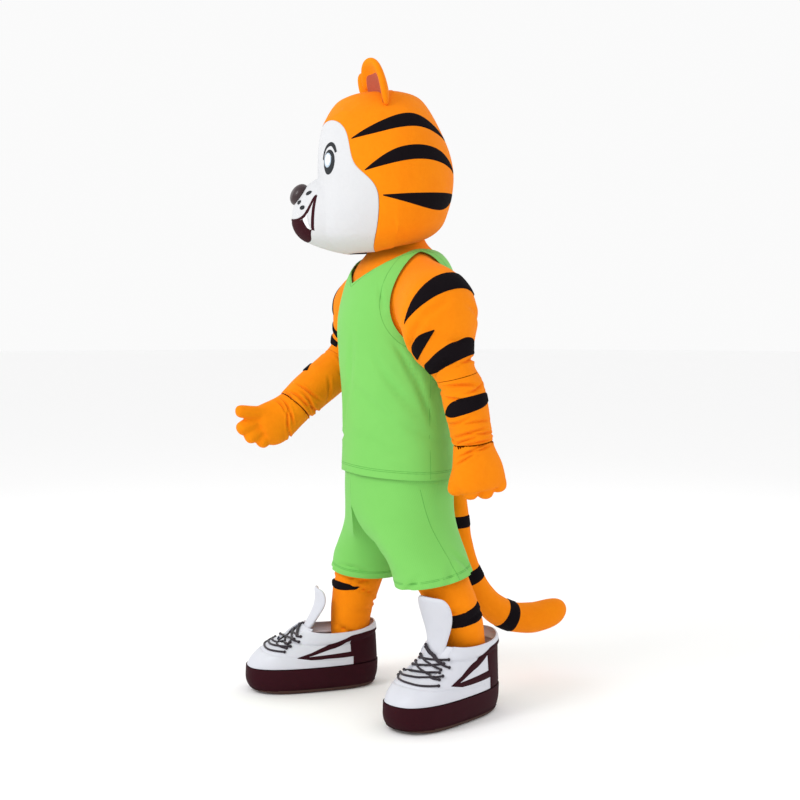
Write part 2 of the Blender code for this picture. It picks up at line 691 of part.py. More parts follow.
FACE_EDGE = [  # middle height, angle and height of the mask's edge, angle and height of the head's side seam
    (1.388, 70, 1.394, 95, 1.406),
    (1.430, 79, 1.450, 95, 1.465),
    (1.480, 80, 1.533, 95, 1.540),
    (1.530, 78, 1.577, 95, 1.600),
    (1.570, 70, 1.612, 95, 1.650),
    (1.600, 57, 1.645, 95, 1.700),
    (1.630, 54, 1.700, 95, 1.745),
    (1.660, 50, 1.752, 95, 1.790),
    (1.690, 38, 1.785, 95, 1.820),
    (1.720, 20, 1.790, 95, 1.848),
    (1.775, 0, 1.775, 95, 1.868),
]
HEAD_STRIPES = {  # angle, low edge, high edge
    "top": [(55, 1.722, 1.725), (75, 1.735, 1.765), (100, 1.758, 1.800), (125, 1.762, 1.800),
            (148, 1.742, 1.767), (163, 1.731, 1.735)],
    "middle": [(67, 1.627, 1.630), (85, 1.645, 1.685), (110, 1.665, 1.708), (135, 1.662, 1.702),
               (152, 1.648, 1.680), (166, 1.633, 1.637)],
    "low": [(82, 1.554, 1.557), (100, 1.538, 1.562), (120, 1.522, 1.566), (141, 1.515, 1.570),
            (158, 1.525, 1.572), (168, 1.548, 1.572)],
}
MUZZLE = {"height": 1.520, "half_width": 0.095, "half_height": 0.088, "reach": 0.056}
NOSE = {"forward": 0.270, "height": 1.574, "half_width": 0.036, "half_deep": 0.024, "half_height": 0.030}
EYE = {"angle": 30, "height": 1.662, "half_angle": 8, "half_height": 0.042}
EAR = {"out": 0.122, "forward": 0.052, "half_width": 0.058, "rise": 0.090, "bowl": 0.026, "facing": 28,
       "lean": 0.25, "tip": 0.22, "lift": 0.006, "wall": 0.014}


def head_spot(side, forward, height):
    """A place given in the head's own directions."""
    turned = Matrix.Rotation(math.radians(HEAD_TURN), 3, "Z") @ Vector((side, -forward, 0))
    return turned + Vector((*HEAD_AXIS, height))


def make_head():
    face, cap, back = Sheet(), Sheet(), Sheet()
    gap = 0.004
    face_edges = [(0, middle, edge * (1 - gap), middle + (high - middle) * (1 - gap))
                  for middle, edge, high, seam, side in FACE_EDGE[:-1]]
    face_edges.append((0, 1.7725, 0, 1.7725))
    cap_edges = [(edge, high, seam - 0.06, side) for middle, edge, high, seam, side in FACE_EDGE]
    cap_edges += [(0, 1.830, 94.94, 1.878), (0, 1.865, 94.94, 1.884), (0, 1.889, 94.94, 1.889)]
    back_edges = [(95.06, side, 180, low) for side, low in
                  ((1.408, 1.438), (1.465, 1.480), (1.540, 1.545), (1.600, 1.605), (1.650, 1.655), (1.700, 1.705),
                   (1.745, 1.750), (1.790, 1.792), (1.820, 1.822), (1.848, 1.850), (1.868, 1.872),
                   (1.884, 1.885), (1.889, 1.889))]
    for half in (1, -1):
        face.grid(rows_on(head, face_edges, 5, 0.0, half))
        cap.grid(rows_on(head, cap_edges, 5, 0.0, half))
        back.grid(rows_on(head, back_edges, 5, 0.0, half))
    face.wall("face", FOAM, "white")
    cap.wall("head_cap", FOAM, "orange")
    back.wall("head_back", FOAM, "orange")
    for name, outline in HEAD_STRIPES.items():
        for side, half in (("left", 1), ("right", -1)):
            rows = patch(head, [(half * angle, low, high) for angle, low, high in outline], 1, LIFT + APPLIQUE)
            Sheet().grid(rows).wall(f"head_stripe_{name}_{side}", APPLIQUE, "black")
    make_muzzle()
    for side, half in (("left", 1), ("right", -1)):
        outline = []
        for t in between(-0.97, 0.97, 6):
            tall = EYE["half_height"] * math.sqrt(1 - t * t)
            outline.append((half * (EYE["angle"] + EYE["half_angle"] * t), EYE["height"] - tall,
                            EYE["height"] + tall))
        Sheet().grid(patch(head, outline, 3, LIFT + APPLIQUE, 2.5)).wall("eye_" + side, APPLIQUE, "eye")
        make_ear(side)


def muzzle_place(angle, along):
    """A rounded form on the mask: along runs from 0 at its base to 1 at its front."""
    turn = math.radians(angle)
    share = math.cos(along * math.pi / 2) ** 0.7
    across, up = MUZZLE["half_width"] * math.sin(turn) * share, MUZZLE["half_height"] * math.cos(turn) * share
    return muzzle_base(across, up, MUZZLE["reach"] * math.sin(along * math.pi / 2))


def muzzle_base(across, up, reach=0.0):
    """A point on the mask, or in front of it, at a place measured from the muzzle's middle."""
    front, _, half_width = read(HEAD, MUZZLE["height"] + up)
    start = front * math.sqrt(1 - (across / half_width) ** 2) + 0.005
    return head_spot(across, start + reach, MUZZLE["height"] + up)


muzzle = Surface(muzzle_place, lambda along: head_spot(0, 0.20, MUZZLE["height"]), 0.01)


def muzzle_solid(name, level):
    """The stuffed muzzle, with its back following the mask."""
    rows = rings_on(muzzle, [0.0, 0.25, 0.5, 0.75, 0.93], 16, level)
    front = muzzle_base(0, 0, MUZZLE["reach"]) + head_spot(0, level, 0) - head_spot(0, 0, 0)
    forward = head_spot(0, 1, 0) - head_spot(0, 0, 0)
    rows.append([(front, forward)] * len(rows[0]))
    back = [[(spot, -forward) for spot, out in rows[0]]]
    for share in (0.6, 0.3, 0.0):
        back.append([(muzzle_base(MUZZLE["half_width"] * share * math.sin(math.radians(angle)),
                                  MUZZLE["half_height"] * share * math.cos(math.radians(angle))), -forward)
                     for angle in between(0, 360, 16)])
    sheet = Sheet().grid(rows)
    sheet.grid(back)
    return sheet.solid(name, "white")


def make_muzzle():
    muzzle_solid("muzzle", 0.0)
    mouth = [(angle, 0.42, 0.42 + 0.30 * math.cos(math.radians((angle - 180) * 1.2))) for angle in
             between(120, 240, 8)]
    Sheet().grid(patch(muzzle, mouth, 2, LIFT + APPLIQUE)).wall("mouth", APPLIQUE, "mouth")
    for side, angle in (("left", 150), ("right", 210)):
        root = muzzle.at(angle, 0.62, 2 * LIFT + APPLIQUE + 0.008)[0]
        rows = []
        for drop, radius in ((0.0, 0.007), (0.010, 0.006), (0.022, 0.0)):
            ring = []
            for a in between(0, 360, 8):
                away = Vector((math.cos(math.radians(a)), math.sin(math.radians(a)), 0))
                ring.append((root + away * radius - Vector((0, 0, drop)), away))
            rows.append(ring)
        top = [(root, Vector((0, 0, 1)))] * len(rows[0])
        sheet = Sheet().grid(rows)
        sheet.grid([top, [(spot, Vector((0, 0, 1))) for spot, out in rows[0]]])
        sheet.solid("fang_" + side, "tooth")
    rows = []
    centre = head_spot(0, NOSE["forward"], NOSE["height"])
    for tilt in between(-90, 90, 6):
        ring = []
        for a in between(0, 360, 12):
            t, b = math.radians(tilt), math.radians(a)
            spot = head_spot(NOSE["half_width"] * math.cos(t) * math.sin(b),
                             NOSE["forward"] + NOSE["half_deep"] * math.cos(t) * math.cos(b),
                             NOSE["height"] + NOSE["half_height"] * math.sin(t))
            ring.append((spot, (spot - centre).normalized()))
        rows.append(ring)
    nose = Sheet().grid(rows).solid("nose", "nose")
    cut_or_join(nose, guide(muzzle_solid("nose_bed", 0.0005)), "DIFFERENCE")


def head_top(across, forward):
    """Height of the head's surface over a place given in the head's own directions."""
    low, high = 1.60, HEAD[-1][0]
    for _ in range(30):
        middle = (low + high) / 2
        front, back, half_width = read(HEAD, middle)
        deep = front if forward > 0 else back
        inside = half_width > 0 and (across / half_width) ** 2 + (forward / deep) ** 2 < 1
        low, high = (middle, high) if inside else (low, middle)
    return low


def make_ear(side):
    """A cup that stands on the head, open to the front and a little to the side, with a lining in it."""
    half = 1 if side == "left" else -1
    facing = math.radians(EAR["facing"])

    def place(angle, ring):
        a = math.radians(angle)
        wide = EAR["half_width"] * ring * math.copysign(abs(math.cos(a)) ** 0.8, math.cos(a))
        rise = EAR["rise"] * ring * max(math.sin(a), 0) ** 0.8
        bowl = EAR["bowl"] * (1 - ring * ring)
        across = EAR["out"] + wide * math.cos(facing) - bowl * math.sin(facing)
        forward = EAR["forward"] - wide * math.sin(facing) - bowl * math.cos(facing)
        foot = head_top(across, forward) * (1 - ring * math.sin(a))
        foot += head_top(EAR["out"], EAR["forward"]) * ring * math.sin(a)
        return head_spot(half * (across + EAR["lean"] * rise), forward + EAR["tip"] * rise,
                         foot + EAR["lift"] + rise)
    behind = head_spot(half * (EAR["out"] - 0.10), EAR["forward"] - 0.18, HEAD[-1][0])
    bowl_surface = Surface(place, lambda ring: behind, 0.02)
    for name, reach, level, wall, colour in (("ear_", 1.0, 0.0, EAR["wall"], "orange"),
                                             ("ear_lining_", 0.80, 0.001 + APPLIQUE, APPLIQUE, "lining")):
        rows = [[bowl_surface.at(angle, ring, level) for angle in between(0, 180, 8)]
                for ring in (0.05, reach * 0.4, reach * 0.75, reach)]
        Sheet().grid(rows).wall(name + side, wall, colour)


# ---- shoes -----------------------------------------------------------------------------------------

SHOES = {"left": (0.203, 0.220, 20), "right": (-0.171, 0.000, -10)}   # heel's x, y and toe-out in degrees
SHOE = [  # height, heel, toe, half width, in the shoe's own length
    (0.000, 0.010, 0.436, 0.094),
    (0.012, 0.004, 0.442, 0.101),
    (0.050, 0.000, 0.443, 0.103),
    (0.080, 0.002, 0.438, 0.102),
    (0.100, 0.004, 0.423, 0.101),
    (0.125, 0.005, 0.388, 0.098),
    (0.150, 0.007, 0.340, 0.093),
    (0.180, 0.009, 0.294, 0.089),
    (0.215, 0.011, 0.260, 0.087),
    (0.248, 0.014, 0.242, 0.086),
]
COLLAR = {"left": (0.246, 0.222, 0.232), "right": (0.208, 0.186, 0.205)}   # height at heel, side and throat
THROAT = 32                # half angle of the opening over the instep
TONGUE = {  # place along the shoe, height, half width
    "left": [(0.282, 0.165, 0.034), (0.268, 0.205, 0.036), (0.258, 0.250, 0.044), (0.266, 0.300, 0.066),
             (0.280, 0.345, 0.072), (0.292, 0.374, 0.056)],
    "right": [(0.268, 0.165, 0.034), (0.245, 0.200, 0.036), (0.222, 0.240, 0.042), (0.210, 0.270, 0.062),
              (0.209, 0.298, 0.066), (0.214, 0.320, 0.050)],
}
TONGUE_PAD = 0.014         # thickness of a tongue
TONGUE_WRAP = 0.24         # how far its edges lie back, for each metre of its half width
OVERLAY = [(62, 0.124, 0.127), (80, 0.112, 0.154), (105, 0.086, 0.200), (130, 0.086, 0.212),
           (155, 0.086, 0.216), (180, 0.086, 0.216)]
OVERLAY_SHARE = {"left": 1, "right": 0.74}   # of these heights over the foxing
LACE_RADIUS = 0.003
LACE_BOW = 0.052           # of a crossing lace in front of the tongue


def shoe_spot(side, along, across, height):
    x, y, toe_out = SHOES[side]
    turn = math.radians(toe_out)
    ahead = Vector((math.sin(turn), -math.cos(turn), 0))
    left = Vector((math.cos(turn), math.sin(turn), 0))
    return Vector((x, y, height)) + ahead * along + left * across


def shoe_surface(side):
    def place(angle, height):
        heel, toe, half_width = read(SHOE, height)
        turn = math.radians(angle)
        ahead, aside = math.cos(turn), math.sin(turn)
        ahead = math.copysign(abs(ahead) ** 0.8, ahead)
        aside = math.copysign(abs(aside) ** 0.8, aside)
        middle, half = (heel + toe) / 2, (toe - heel) / 2
        return shoe_spot(side, middle + half * ahead, half_width * aside * (1 + 0.08 * ahead), height)
    return Surface(place, lambda height: shoe_spot(side, 0.13, 0, height - 0.01))


def collar_height(side, angle):
    """Height of the shoe's opening, which dips at the ankle."""
    heel, ankle, throat = COLLAR[side]
    away = abs(angle - 180) / 90
    end = heel if away < 1 else throat
    return ankle + (end - ankle) * smooth_step(abs(1 - away))


def make_shoe(side):
    shoe = shoe_surface(side)
    stuffed("sole_" + side, shoe, [0.0, 0.012, FOXING - SEAM], 24, "maroon")
    angles = between(THROAT, 360 - THROAT, 16)
    low = angles + [360 - THROAT / 2, 360, 360 + THROAT / 2, 360 + THROAT]
    upper = Sheet()
    upper.grid([[shoe.at(a, z, -0.003) for a in low] for z in (FOXING + 0.003, 0.10, 0.125, 0.15)])
    upper.grid([[shoe.at(a, 0.15 + (collar_height(side, a) - 0.15) * share, -0.003) for a in angles]
                for share in (0, 0.33, 0.67, 1)])
    upper.wall("upper_" + side, VINYL, "vinyl")

    def tongue_place(across, k):
        along, height, half_width = read([(i, *row) for i, row in enumerate(TONGUE[side])], k)
        return shoe_spot(side, along - TONGUE_WRAP * half_width * across * across, half_width * across, height)
    rows = []
    for k in range(len(TONGUE[side])):
        row = []
        for across in between(-1, 1, 4):
            spot = tongue_place(across, k)
            over, under = tongue_place(across, k + 0.1), tongue_place(across, k - 0.1)
            out = (tongue_place(across + 0.1, k) - tongue_place(across - 0.1, k)).cross(over - under).normalized()
            ahead = shoe_spot(side, 1, 0, 0) - shoe_spot(side, 0, 0, 0)
            row.append((spot, out if out.dot(ahead) > 0 else -out))
        rows.append(row)
    Sheet().grid(rows).wall("tongue_" + side, TONGUE_PAD, "vinyl")

    sheet = Sheet()
    share = OVERLAY_SHARE[side]
    rows = [(a, *(0.086 + (height - 0.086) * share for height in edges)) for a, *edges in OVERLAY]
    for half in (1, -1):
        sheet.grid(patch(shoe, [(half * a, low_edge, high) for a, low_edge, high in rows], 1, 0.0025 + APPLIQUE))
    sheet.wall("overlay_" + side, APPLIQUE, "maroon")
    make_laces(side, shoe)


def make_laces(side, shoe):
    """One lace that zigzags up the throat, with its end lying down the shoe's side."""
    points = []
    for k in range(7):
        height = 0.140 + 0.015 * k
        edge = THROAT + 4 if k % 2 else -THROAT - 4
        points.append(shoe.at(edge, height, 0.006)[0])
        if k < 6:
            middle = (points[-1] + shoe.at(-edge, height + 0.015, 0.006)[0]) / 2
            ahead = shoe_spot(side, 1, 0, 0) - shoe_spot(side, 0, 0, 0)
            points.append(middle + ahead * LACE_BOW)
    curve = bpy.data.curves.new("laces_" + side, "CURVE")
    curve.dimensions = "3D"
    curve.bevel_depth, curve.bevel_resolution, curve.use_fill_caps = LACE_RADIUS, 1, True
    spline = curve.splines.new("POLY")
    spline.points.add(len(points) - 1)
    for point, spot in zip(spline.points, points):
        point.co = (*spot, 1)
    piece = bpy.data.objects.new("laces_" + side, curve)
    bpy.context.scene.collection.objects.link(piece)
    curve.materials.append(material("lace"))
    piece.parent = floor_frame


# ---- the costume -----------------------------------------------------------------------------------

for old in list(bpy.data.objects):
    bpy.data.objects.remove(old)
floor_frame = bpy.data.objects.new("floor_frame", None)
bpy.context.scene.collection.objects.link(floor_frame)
floor_frame.location = (0, 0, -SHOULDER_HEIGHT)

make_torso()
make_tail()
make_head()
for each_side in ("left", "right"):
    make_arm(each_side)
    make_leg(each_side)
    make_shorts(each_side)
    make_shoe(each_side)
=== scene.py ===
import json
import math

import bpy
import numpy as np
from mathutils import Matrix, Vector, noise
from mathutils.bvhtree import BVHTree
from mathutils.kdtree import KDTree


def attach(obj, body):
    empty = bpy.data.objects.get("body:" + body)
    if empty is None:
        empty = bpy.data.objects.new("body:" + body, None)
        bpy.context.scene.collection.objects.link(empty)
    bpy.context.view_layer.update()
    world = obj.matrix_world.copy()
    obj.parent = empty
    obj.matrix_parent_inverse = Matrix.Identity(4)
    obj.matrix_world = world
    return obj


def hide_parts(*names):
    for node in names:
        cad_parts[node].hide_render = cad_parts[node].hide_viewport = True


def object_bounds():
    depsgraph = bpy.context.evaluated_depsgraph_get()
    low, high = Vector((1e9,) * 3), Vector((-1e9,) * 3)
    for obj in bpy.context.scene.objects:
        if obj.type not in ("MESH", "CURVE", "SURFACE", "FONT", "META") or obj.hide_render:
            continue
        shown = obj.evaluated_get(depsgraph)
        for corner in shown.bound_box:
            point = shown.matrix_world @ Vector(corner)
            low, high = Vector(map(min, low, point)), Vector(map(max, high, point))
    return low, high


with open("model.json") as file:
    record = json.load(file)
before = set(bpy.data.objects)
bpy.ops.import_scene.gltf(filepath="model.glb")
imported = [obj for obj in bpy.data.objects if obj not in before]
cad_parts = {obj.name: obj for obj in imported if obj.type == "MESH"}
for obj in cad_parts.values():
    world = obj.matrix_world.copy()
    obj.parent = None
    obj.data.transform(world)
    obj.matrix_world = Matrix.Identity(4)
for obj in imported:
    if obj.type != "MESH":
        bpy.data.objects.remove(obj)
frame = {"nodes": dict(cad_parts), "record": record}
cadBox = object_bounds()
floorHeight = cadBox[0].z  # the soles stand on it
sides = {"left": 1, "right": -1}


# camera, lights and floor

view = {"azimuth": 65, "distance": 4.2, "height": 1.25, "drop": 4.26, "lens": 60.5}
lamps = [  # azimuth, distance, height over the floor, size, power
    (10, 3.6, 3.4, 1.4, 66),
    (85, 3.4, 0.8, 2.0, 9),
    (-60, 4.0, 2.6, 2.2, 12),
    (200, 4.0, 3.2, 2.2, 16),
]
floor = {"radius": 30.0, "tone": 0.97}


def around(azimuth, distance, height):
    turn = math.radians(azimuth)
    return Vector((distance * math.sin(turn), -distance * math.cos(turn), height))


def makeStage():
    spot = around(view["azimuth"], view["distance"], floorHeight + view["height"])
    bpy.ops.object.camera_add(location=spot, rotation=(math.radians(90 - view["drop"]), 0,
                                                       math.radians(view["azimuth"])))
    camera = bpy.context.object
    camera.data.lens = view["lens"]
    bpy.context.scene.camera = camera
    for azimuth, distance, height, size, power in lamps:
        place = around(azimuth, distance, floorHeight + height)
        aim = Vector((0, 0, floorHeight + 1.0)) - place
        turn = aim.to_track_quat("-Z", "Y").to_euler()
        bpy.ops.object.light_add(type="AREA", location=place, rotation=turn)
        bpy.context.object.data.size = size
        bpy.context.object.data.energy = power
    bpy.ops.mesh.primitive_circle_add(vertices=64, radius=floor["radius"], fill_type="NGON",
                                      location=(0, 0, floorHeight - 0.001))
    ground = bpy.context.object
    ground.name = "floor"
    paint = Paint("floorPaint")
    paint.finish(color=(floor["tone"],) * 3, roughness=0.9)
    ground.data.materials.append(paint.material)
    world = bpy.data.worlds.new("softRoom")
    world.use_nodes = True
    world.node_tree.nodes["Background"].inputs["Color"].default_value = (1, 1, 1, 1)
    world.node_tree.nodes["Background"].inputs["Strength"].default_value = 0.96
    bpy.context.scene.world = world
    bpy.context.scene.view_settings.view_transform = "Standard"


# materials: Python expressions that make shader nodes

class Wire:
    # one socket of a node tree, with the operators that the finishes use

    def __init__(self, tree, socket):
        self.tree, self.socket = tree, socket

    def math(self, operation, *others):
        step = self.tree.nodes.new("ShaderNodeMath")
        step.operation = operation
        for socket, value in zip(step.inputs, (self, *others)):
            if isinstance(value, Wire):
                self.tree.links.new(value.socket, socket)
            else:
                socket.default_value = value
        return Wire(self.tree, step.outputs[0])

    def __add__(self, other):
        return self.math("ADD", other)

    def __mul__(self, other):
        return self.math("MULTIPLY", other)

    def __sub__(self, other):
        return self.math("SUBTRACT", other)

    def __rsub__(self, other):
        return (self * -1).math("ADD", other)

    __radd__, __rmul__ = __add__, __mul__


class Paint:

    def __init__(self, name):
        self.material = bpy.data.materials.new(name)
        self.material.use_nodes = True
        self.tree = self.material.node_tree
        self.shader = self.tree.nodes["Principled BSDF"]

    def node(self, kind, output=0, settings=None, **sockets):
        made = self.tree.nodes.new("ShaderNode" + kind)
        for key, value in (settings or {}).items():
            setattr(made, key, value)
        for name, value in sockets.items():
            self.feed(made.inputs[name], value)
        return Wire(self.tree, made.outputs[output])

    def feed(self, socket, value):
        if isinstance(value, Wire):
            self.tree.links.new(value.socket, socket)
        elif isinstance(value, (tuple, list)) and len(value) == 3 and socket.type == "RGBA":
            socket.default_value = (*value, 1)
        else:
            socket.default_value = value

    def place(self, kind="Object"):
        return self.node("TexCoord", output=["Generated", "Normal", "UV", "Object"].index(kind))

    def noise(self, scale, detail=3.0, roughness=0.55, kind="Object"):
        return self.node("TexNoise", Vector=self.place(kind), Scale=scale, Detail=detail,
                         Roughness=roughness)

    def mix(self, share, first, second):
        made = self.tree.nodes.new("ShaderNodeMix")
        made.data_type = "RGBA"
        self.feed(made.inputs[0], share)
        self.feed(made.inputs[6], first)
        self.feed(made.inputs[7], second)
        return Wire(self.tree, made.outputs[2])

    def bump(self, height, strength, distance, below=None):
        sockets = {"Height": height, "Strength": strength, "Distance": distance}
        if below:
            sockets["Normal"] = below
        return self.node("Bump", **sockets)

    def finish(self, color, roughness, normal=None, sheen=0.0, coat=0.0, coatRough=0.1, specular=0.5):
        inputs = self.shader.inputs
        self.feed(inputs["Base Color"], color)
        self.feed(inputs["Roughness"], roughness)
        inputs["Sheen Weight"].default_value = sheen
        inputs["Sheen Roughness"].default_value = 0.5
        inputs["Coat Weight"].default_value = coat
        inputs["Coat Roughness"].default_value = coatRough
        inputs["Specular IOR Level"].default_value = specular
        if normal:
            self.feed(inputs["Normal"], normal)
        return self.material


def shade(color, factor):
    return tuple(channel * factor for channel in color)


def makePlush(name, color, deep, sheen=0.03, nap=0.5, specular=0.08):
    # short pile: broad brushed patches, a fine grain of fibres and a soft edge of light
    paint = Paint(name)
    patches = paint.noise(9.0, 4.0, 0.6)
    brushed = paint.noise(70.0, 3.0, 0.6)
    fibres = paint.noise(900.0, 2.0, 0.7)
    share = (patches * 0.55 + brushed * 0.3 + fibres * 0.15) * (2 * nap) + (0.5 - nap)
    color = paint.mix(share, deep, color)
    normal = paint.bump(fibres, 0.4, 0.0014, paint.bump(brushed, 0.4, 0.0030))
    return paint.finish(color, 0.92 - 0.1 * brushed, normal, sheen=sheen, specular=specular)


def makeKnit(name, color, deep):
    # smooth polyester: fine columns of loops, a slight satin shine
    paint = Paint(name)
    grid = paint.place("UV")
    wales = paint.node("TexWave", settings={"bands_direction": "X"}, Vector=grid, Scale=95.0,
                       Distortion=0.6)
    courses = paint.node("TexWave", settings={"bands_direction": "Y"}, Vector=grid, Scale=120.0,
                         Distortion=0.4)
    patches = paint.noise(5.0, 3.0)
    loops = wales * courses
    color = paint.mix(patches * 0.7 + loops * 0.3, deep, color)
    normal = paint.bump(loops, 0.3, 0.0006, paint.bump(paint.noise(26.0), 0.12, 0.004))
    return paint.finish(color, 0.62 + 0.12 * patches, normal, sheen=0.04, specular=0.3)


def makeVinyl(name, color, deep, roughness=0.38, coat=0.15, specular=0.3):
    # coated fabric over foam: fine grain, faint dents
    paint = Paint(name)
    grain = paint.node("TexVoronoi", Vector=paint.place(), Scale=520.0)
    dents = paint.noise(22.0, 3.0)
    scuffs = paint.noise(60.0, 5.0, 0.7)
    color = paint.mix(dents * 0.6 + scuffs * 0.4, deep, color)
    normal = paint.bump(grain, 0.12, 0.0004, paint.bump(dents, 0.18, 0.004))
    return paint.finish(color, roughness + 0.16 * scuffs, normal, coat=coat, coatRough=0.3,
                        specular=specular)


def makeCord(name, color):
    # round woven lace
    paint = Paint(name)
    weave = paint.node("TexWave", settings={"bands_direction": "DIAGONAL"}, Vector=paint.place("UV"),
                       Scale=3.0)
    strands = paint.noise(700.0)
    color = paint.mix(weave * 0.6 + strands * 0.4, shade(color, 0.5), shade(color, 1.5))
    return paint.finish(color, 0.85, paint.bump(weave, 0.6, 0.0008), sheen=0.2)


def makePlastic(name, color, roughness, coat):
    paint = Paint(name)
    tone = paint.noise(40.0)
    color = paint.mix(tone, shade(color, 0.75), shade(color, 1.2))
    return paint.finish(color, roughness + 0.08 * tone, paint.bump(tone, 0.05, 0.001), coat=coat,
                        coatRough=0.06)


def makeRubber(name, color):
    paint = Paint(name)
    dust = paint.noise(90.0, 5.0)
    color = paint.mix(dust, shade(color, 0.6), shade(color, 1.5))
    return paint.finish(color, 0.7 + 0.2 * dust, paint.bump(dust, 0.3, 0.001))


def makeFinishes():
    orange, orangeDeep = (0.95, 0.29, 0.004), (0.80, 0.175, 0.001)
    return {
        "orange_plush": makePlush("orangePlush", orange, orangeDeep),
        "black_plush": makePlush("blackPlush", (0.010, 0.007, 0.009), (0.004, 0.003, 0.004), sheen=0.0,
                                 specular=0.04),
        "white_plush": makePlush("whitePlush", (0.66, 0.66, 0.67), (0.59, 0.60, 0.62), sheen=0.02),
        "ear_plush": makePlush("earPlush", (0.52, 0.13, 0.075), (0.36, 0.075, 0.04)),
        "green_knit": makeKnit("greenKnit", (0.215, 0.60, 0.125), (0.155, 0.50, 0.085)),
        "green_thread": makeKnit("greenThread", (0.10, 0.40, 0.06), (0.08, 0.34, 0.05)),
        "white_vinyl": makeVinyl("whiteVinyl", (0.64, 0.65, 0.70), (0.57, 0.58, 0.64)),
        "dark_vinyl": makeVinyl("darkVinyl", (0.034, 0.003, 0.008), (0.020, 0.002, 0.004), 0.6, 0.0, 0.1),
        "outsole": makeRubber("outsoleRubber", (0.050, 0.018, 0.010)),
        "lace_cord": makeCord("laceCord", (0.012, 0.005, 0.012)),
        "nose_gloss": makePlastic("noseGloss", (0.020, 0.003, 0.005), 0.40, 0.10),
        "mouth_felt": makePlush("mouthFelt", (0.045, 0.008, 0.012), (0.028, 0.004, 0.007), sheen=0.02),
        "fang_felt": makePlush("fangFelt", (0.86, 0.86, 0.87), (0.78, 0.78, 0.80), sheen=0.1),
        "eye_print": makePlastic("eyePrint", (0.006, 0.008, 0.012), 0.75, 0.0),
        "eye_pale": makePlastic("eyePale", (0.42, 0.52, 0.62), 0.3, 0.3),
        "eye_white": makePlastic("eyeWhite", (0.86, 0.88, 0.92), 0.3, 0.3),
    }


# modelling helpers

seamGap = 0.0012   # between two solids that a seam joins

def only(piece):
    # an operator acts on all that is selected
    bpy.ops.object.select_all(action="DESELECT")
    piece.select_set(True)
    bpy.context.view_layer.objects.active = piece


def applied(piece, kind, **settings):
    modifier = piece.modifiers.new(kind.lower(), kind)
    for key, value in settings.items():
        setattr(modifier, key, value)
    only(piece)
    bpy.ops.object.modifier_apply(modifier=modifier.name)
    return piece


def subdivided(piece, levels, **settings):
    return applied(piece, "SUBSURF", levels=levels, render_levels=levels, **settings)


def fromNode(nodeName, name):
    # a copy of a CAD solid with its loose triangles sewn together into quads
    mesh = frame["nodes"][nodeName].data.copy()
    mesh.materials.clear()
    piece = bpy.data.objects.new(name, mesh)
    bpy.context.scene.collection.objects.link(piece)
    only(piece)
    bpy.ops.object.mode_set(mode="EDIT")
    bpy.ops.mesh.select_all(action="SELECT")
    bpy.ops.mesh.customdata_custom_splitnormals_clear()
    bpy.ops.mesh.remove_doubles(threshold=0.00005)
    bpy.ops.mesh.tris_convert_to_quads(face_threshold=math.radians(35), shape_threshold=math.radians(170))
    bpy.ops.object.mode_set(mode="OBJECT")
    return piece


def smoothWall(nodeNames, name, levels=3, sharp=55):
    # a garment wall from its solids, sewn together: the cloth's edges stay crisp and the rest turns smooth
    piece = fromNode(nodeNames, name) if isinstance(nodeNames, str) else None
    if not piece:
        piece = joined(name, [fromNode(each, name + each) for each in nodeNames])
        only(piece)
        bpy.ops.object.mode_set(mode="EDIT")
        bpy.ops.mesh.select_all(action="SELECT")
        bpy.ops.mesh.remove_doubles(threshold=seamGap)
        bpy.ops.mesh.select_all(action="DESELECT")
        bpy.ops.mesh.select_interior_faces()
        bpy.ops.mesh.delete(type="FACE")
        bpy.ops.object.mode_set(mode="OBJECT")
    bpy.ops.object.mode_set(mode="EDIT")
    bpy.ops.mesh.select_mode(type="EDGE")
    bpy.ops.mesh.select_all(action="DESELECT")
    bpy.ops.mesh.edges_select_sharp(sharpness=math.radians(sharp))
    bpy.ops.transform.edge_crease(value=1)
    bpy.ops.object.mode_set(mode="OBJECT")
    subdivided(piece, levels)
    clearCreases(piece)
    return piece


def clearCreases(piece):
    for name in ("crease_edge", "sharp_edge"):
        layer = piece.data.attributes.get(name)
        if layer:
            piece.data.attributes.remove(layer)


def pointsOf(piece):
    points = np.empty(len(piece.data.vertices) * 3)
    piece.data.vertices.foreach_get("co", points)
    return points.reshape(-1, 3)


def putPoints(piece, points):
    piece.data.vertices.foreach_set("co", points.ravel())
    piece.data.update()


def treeOf(*pieces):
    points, faces = [], []
    for piece in pieces:
        first = len(points)
        points += [vertex.co.copy() for vertex in piece.data.vertices]
        faces += [[first + k for k in face.vertices] for face in piece.data.polygons]
    return BVHTree.FromPolygons(points, faces)


def ready(piece, slotName, *nodes, finishName=None):
    # smooth shading, the finish (the slot's own unless another is named), the body, and the solids it stands
    # for hidden
    only(piece)
    bpy.ops.object.shade_smooth_by_angle(angle=math.radians(50))
    piece.data.materials.clear()
    piece.data.materials.append(finishes[finishName or slotName])
    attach(piece, "root")
    if nodes:
        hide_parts(*nodes)
    return piece


def joined(name, pieces):
    bpy.ops.object.select_all(action="DESELECT")
    for piece in pieces:
        piece.select_set(True)
    bpy.context.view_layer.objects.active = pieces[0]
    bpy.ops.object.join()
    pieces[0].name = name
    return pieces[0]


def settle(piece):
    # its place goes into its mesh
    only(piece)
    bpy.ops.object.transform_apply(location=True, rotation=True, scale=True)
    return piece


def thinned(piece, share):
    # fewer faces where the surface is calm
    return applied(piece, "DECIMATE", ratio=share)


def swell(piece, amount):
    normals = np.array([tuple(vertex.normal) for vertex in piece.data.vertices])
    putPoints(piece, pointsOf(piece) + normals * amount)


# folds: soft troughs in the cloth, placed round an axis

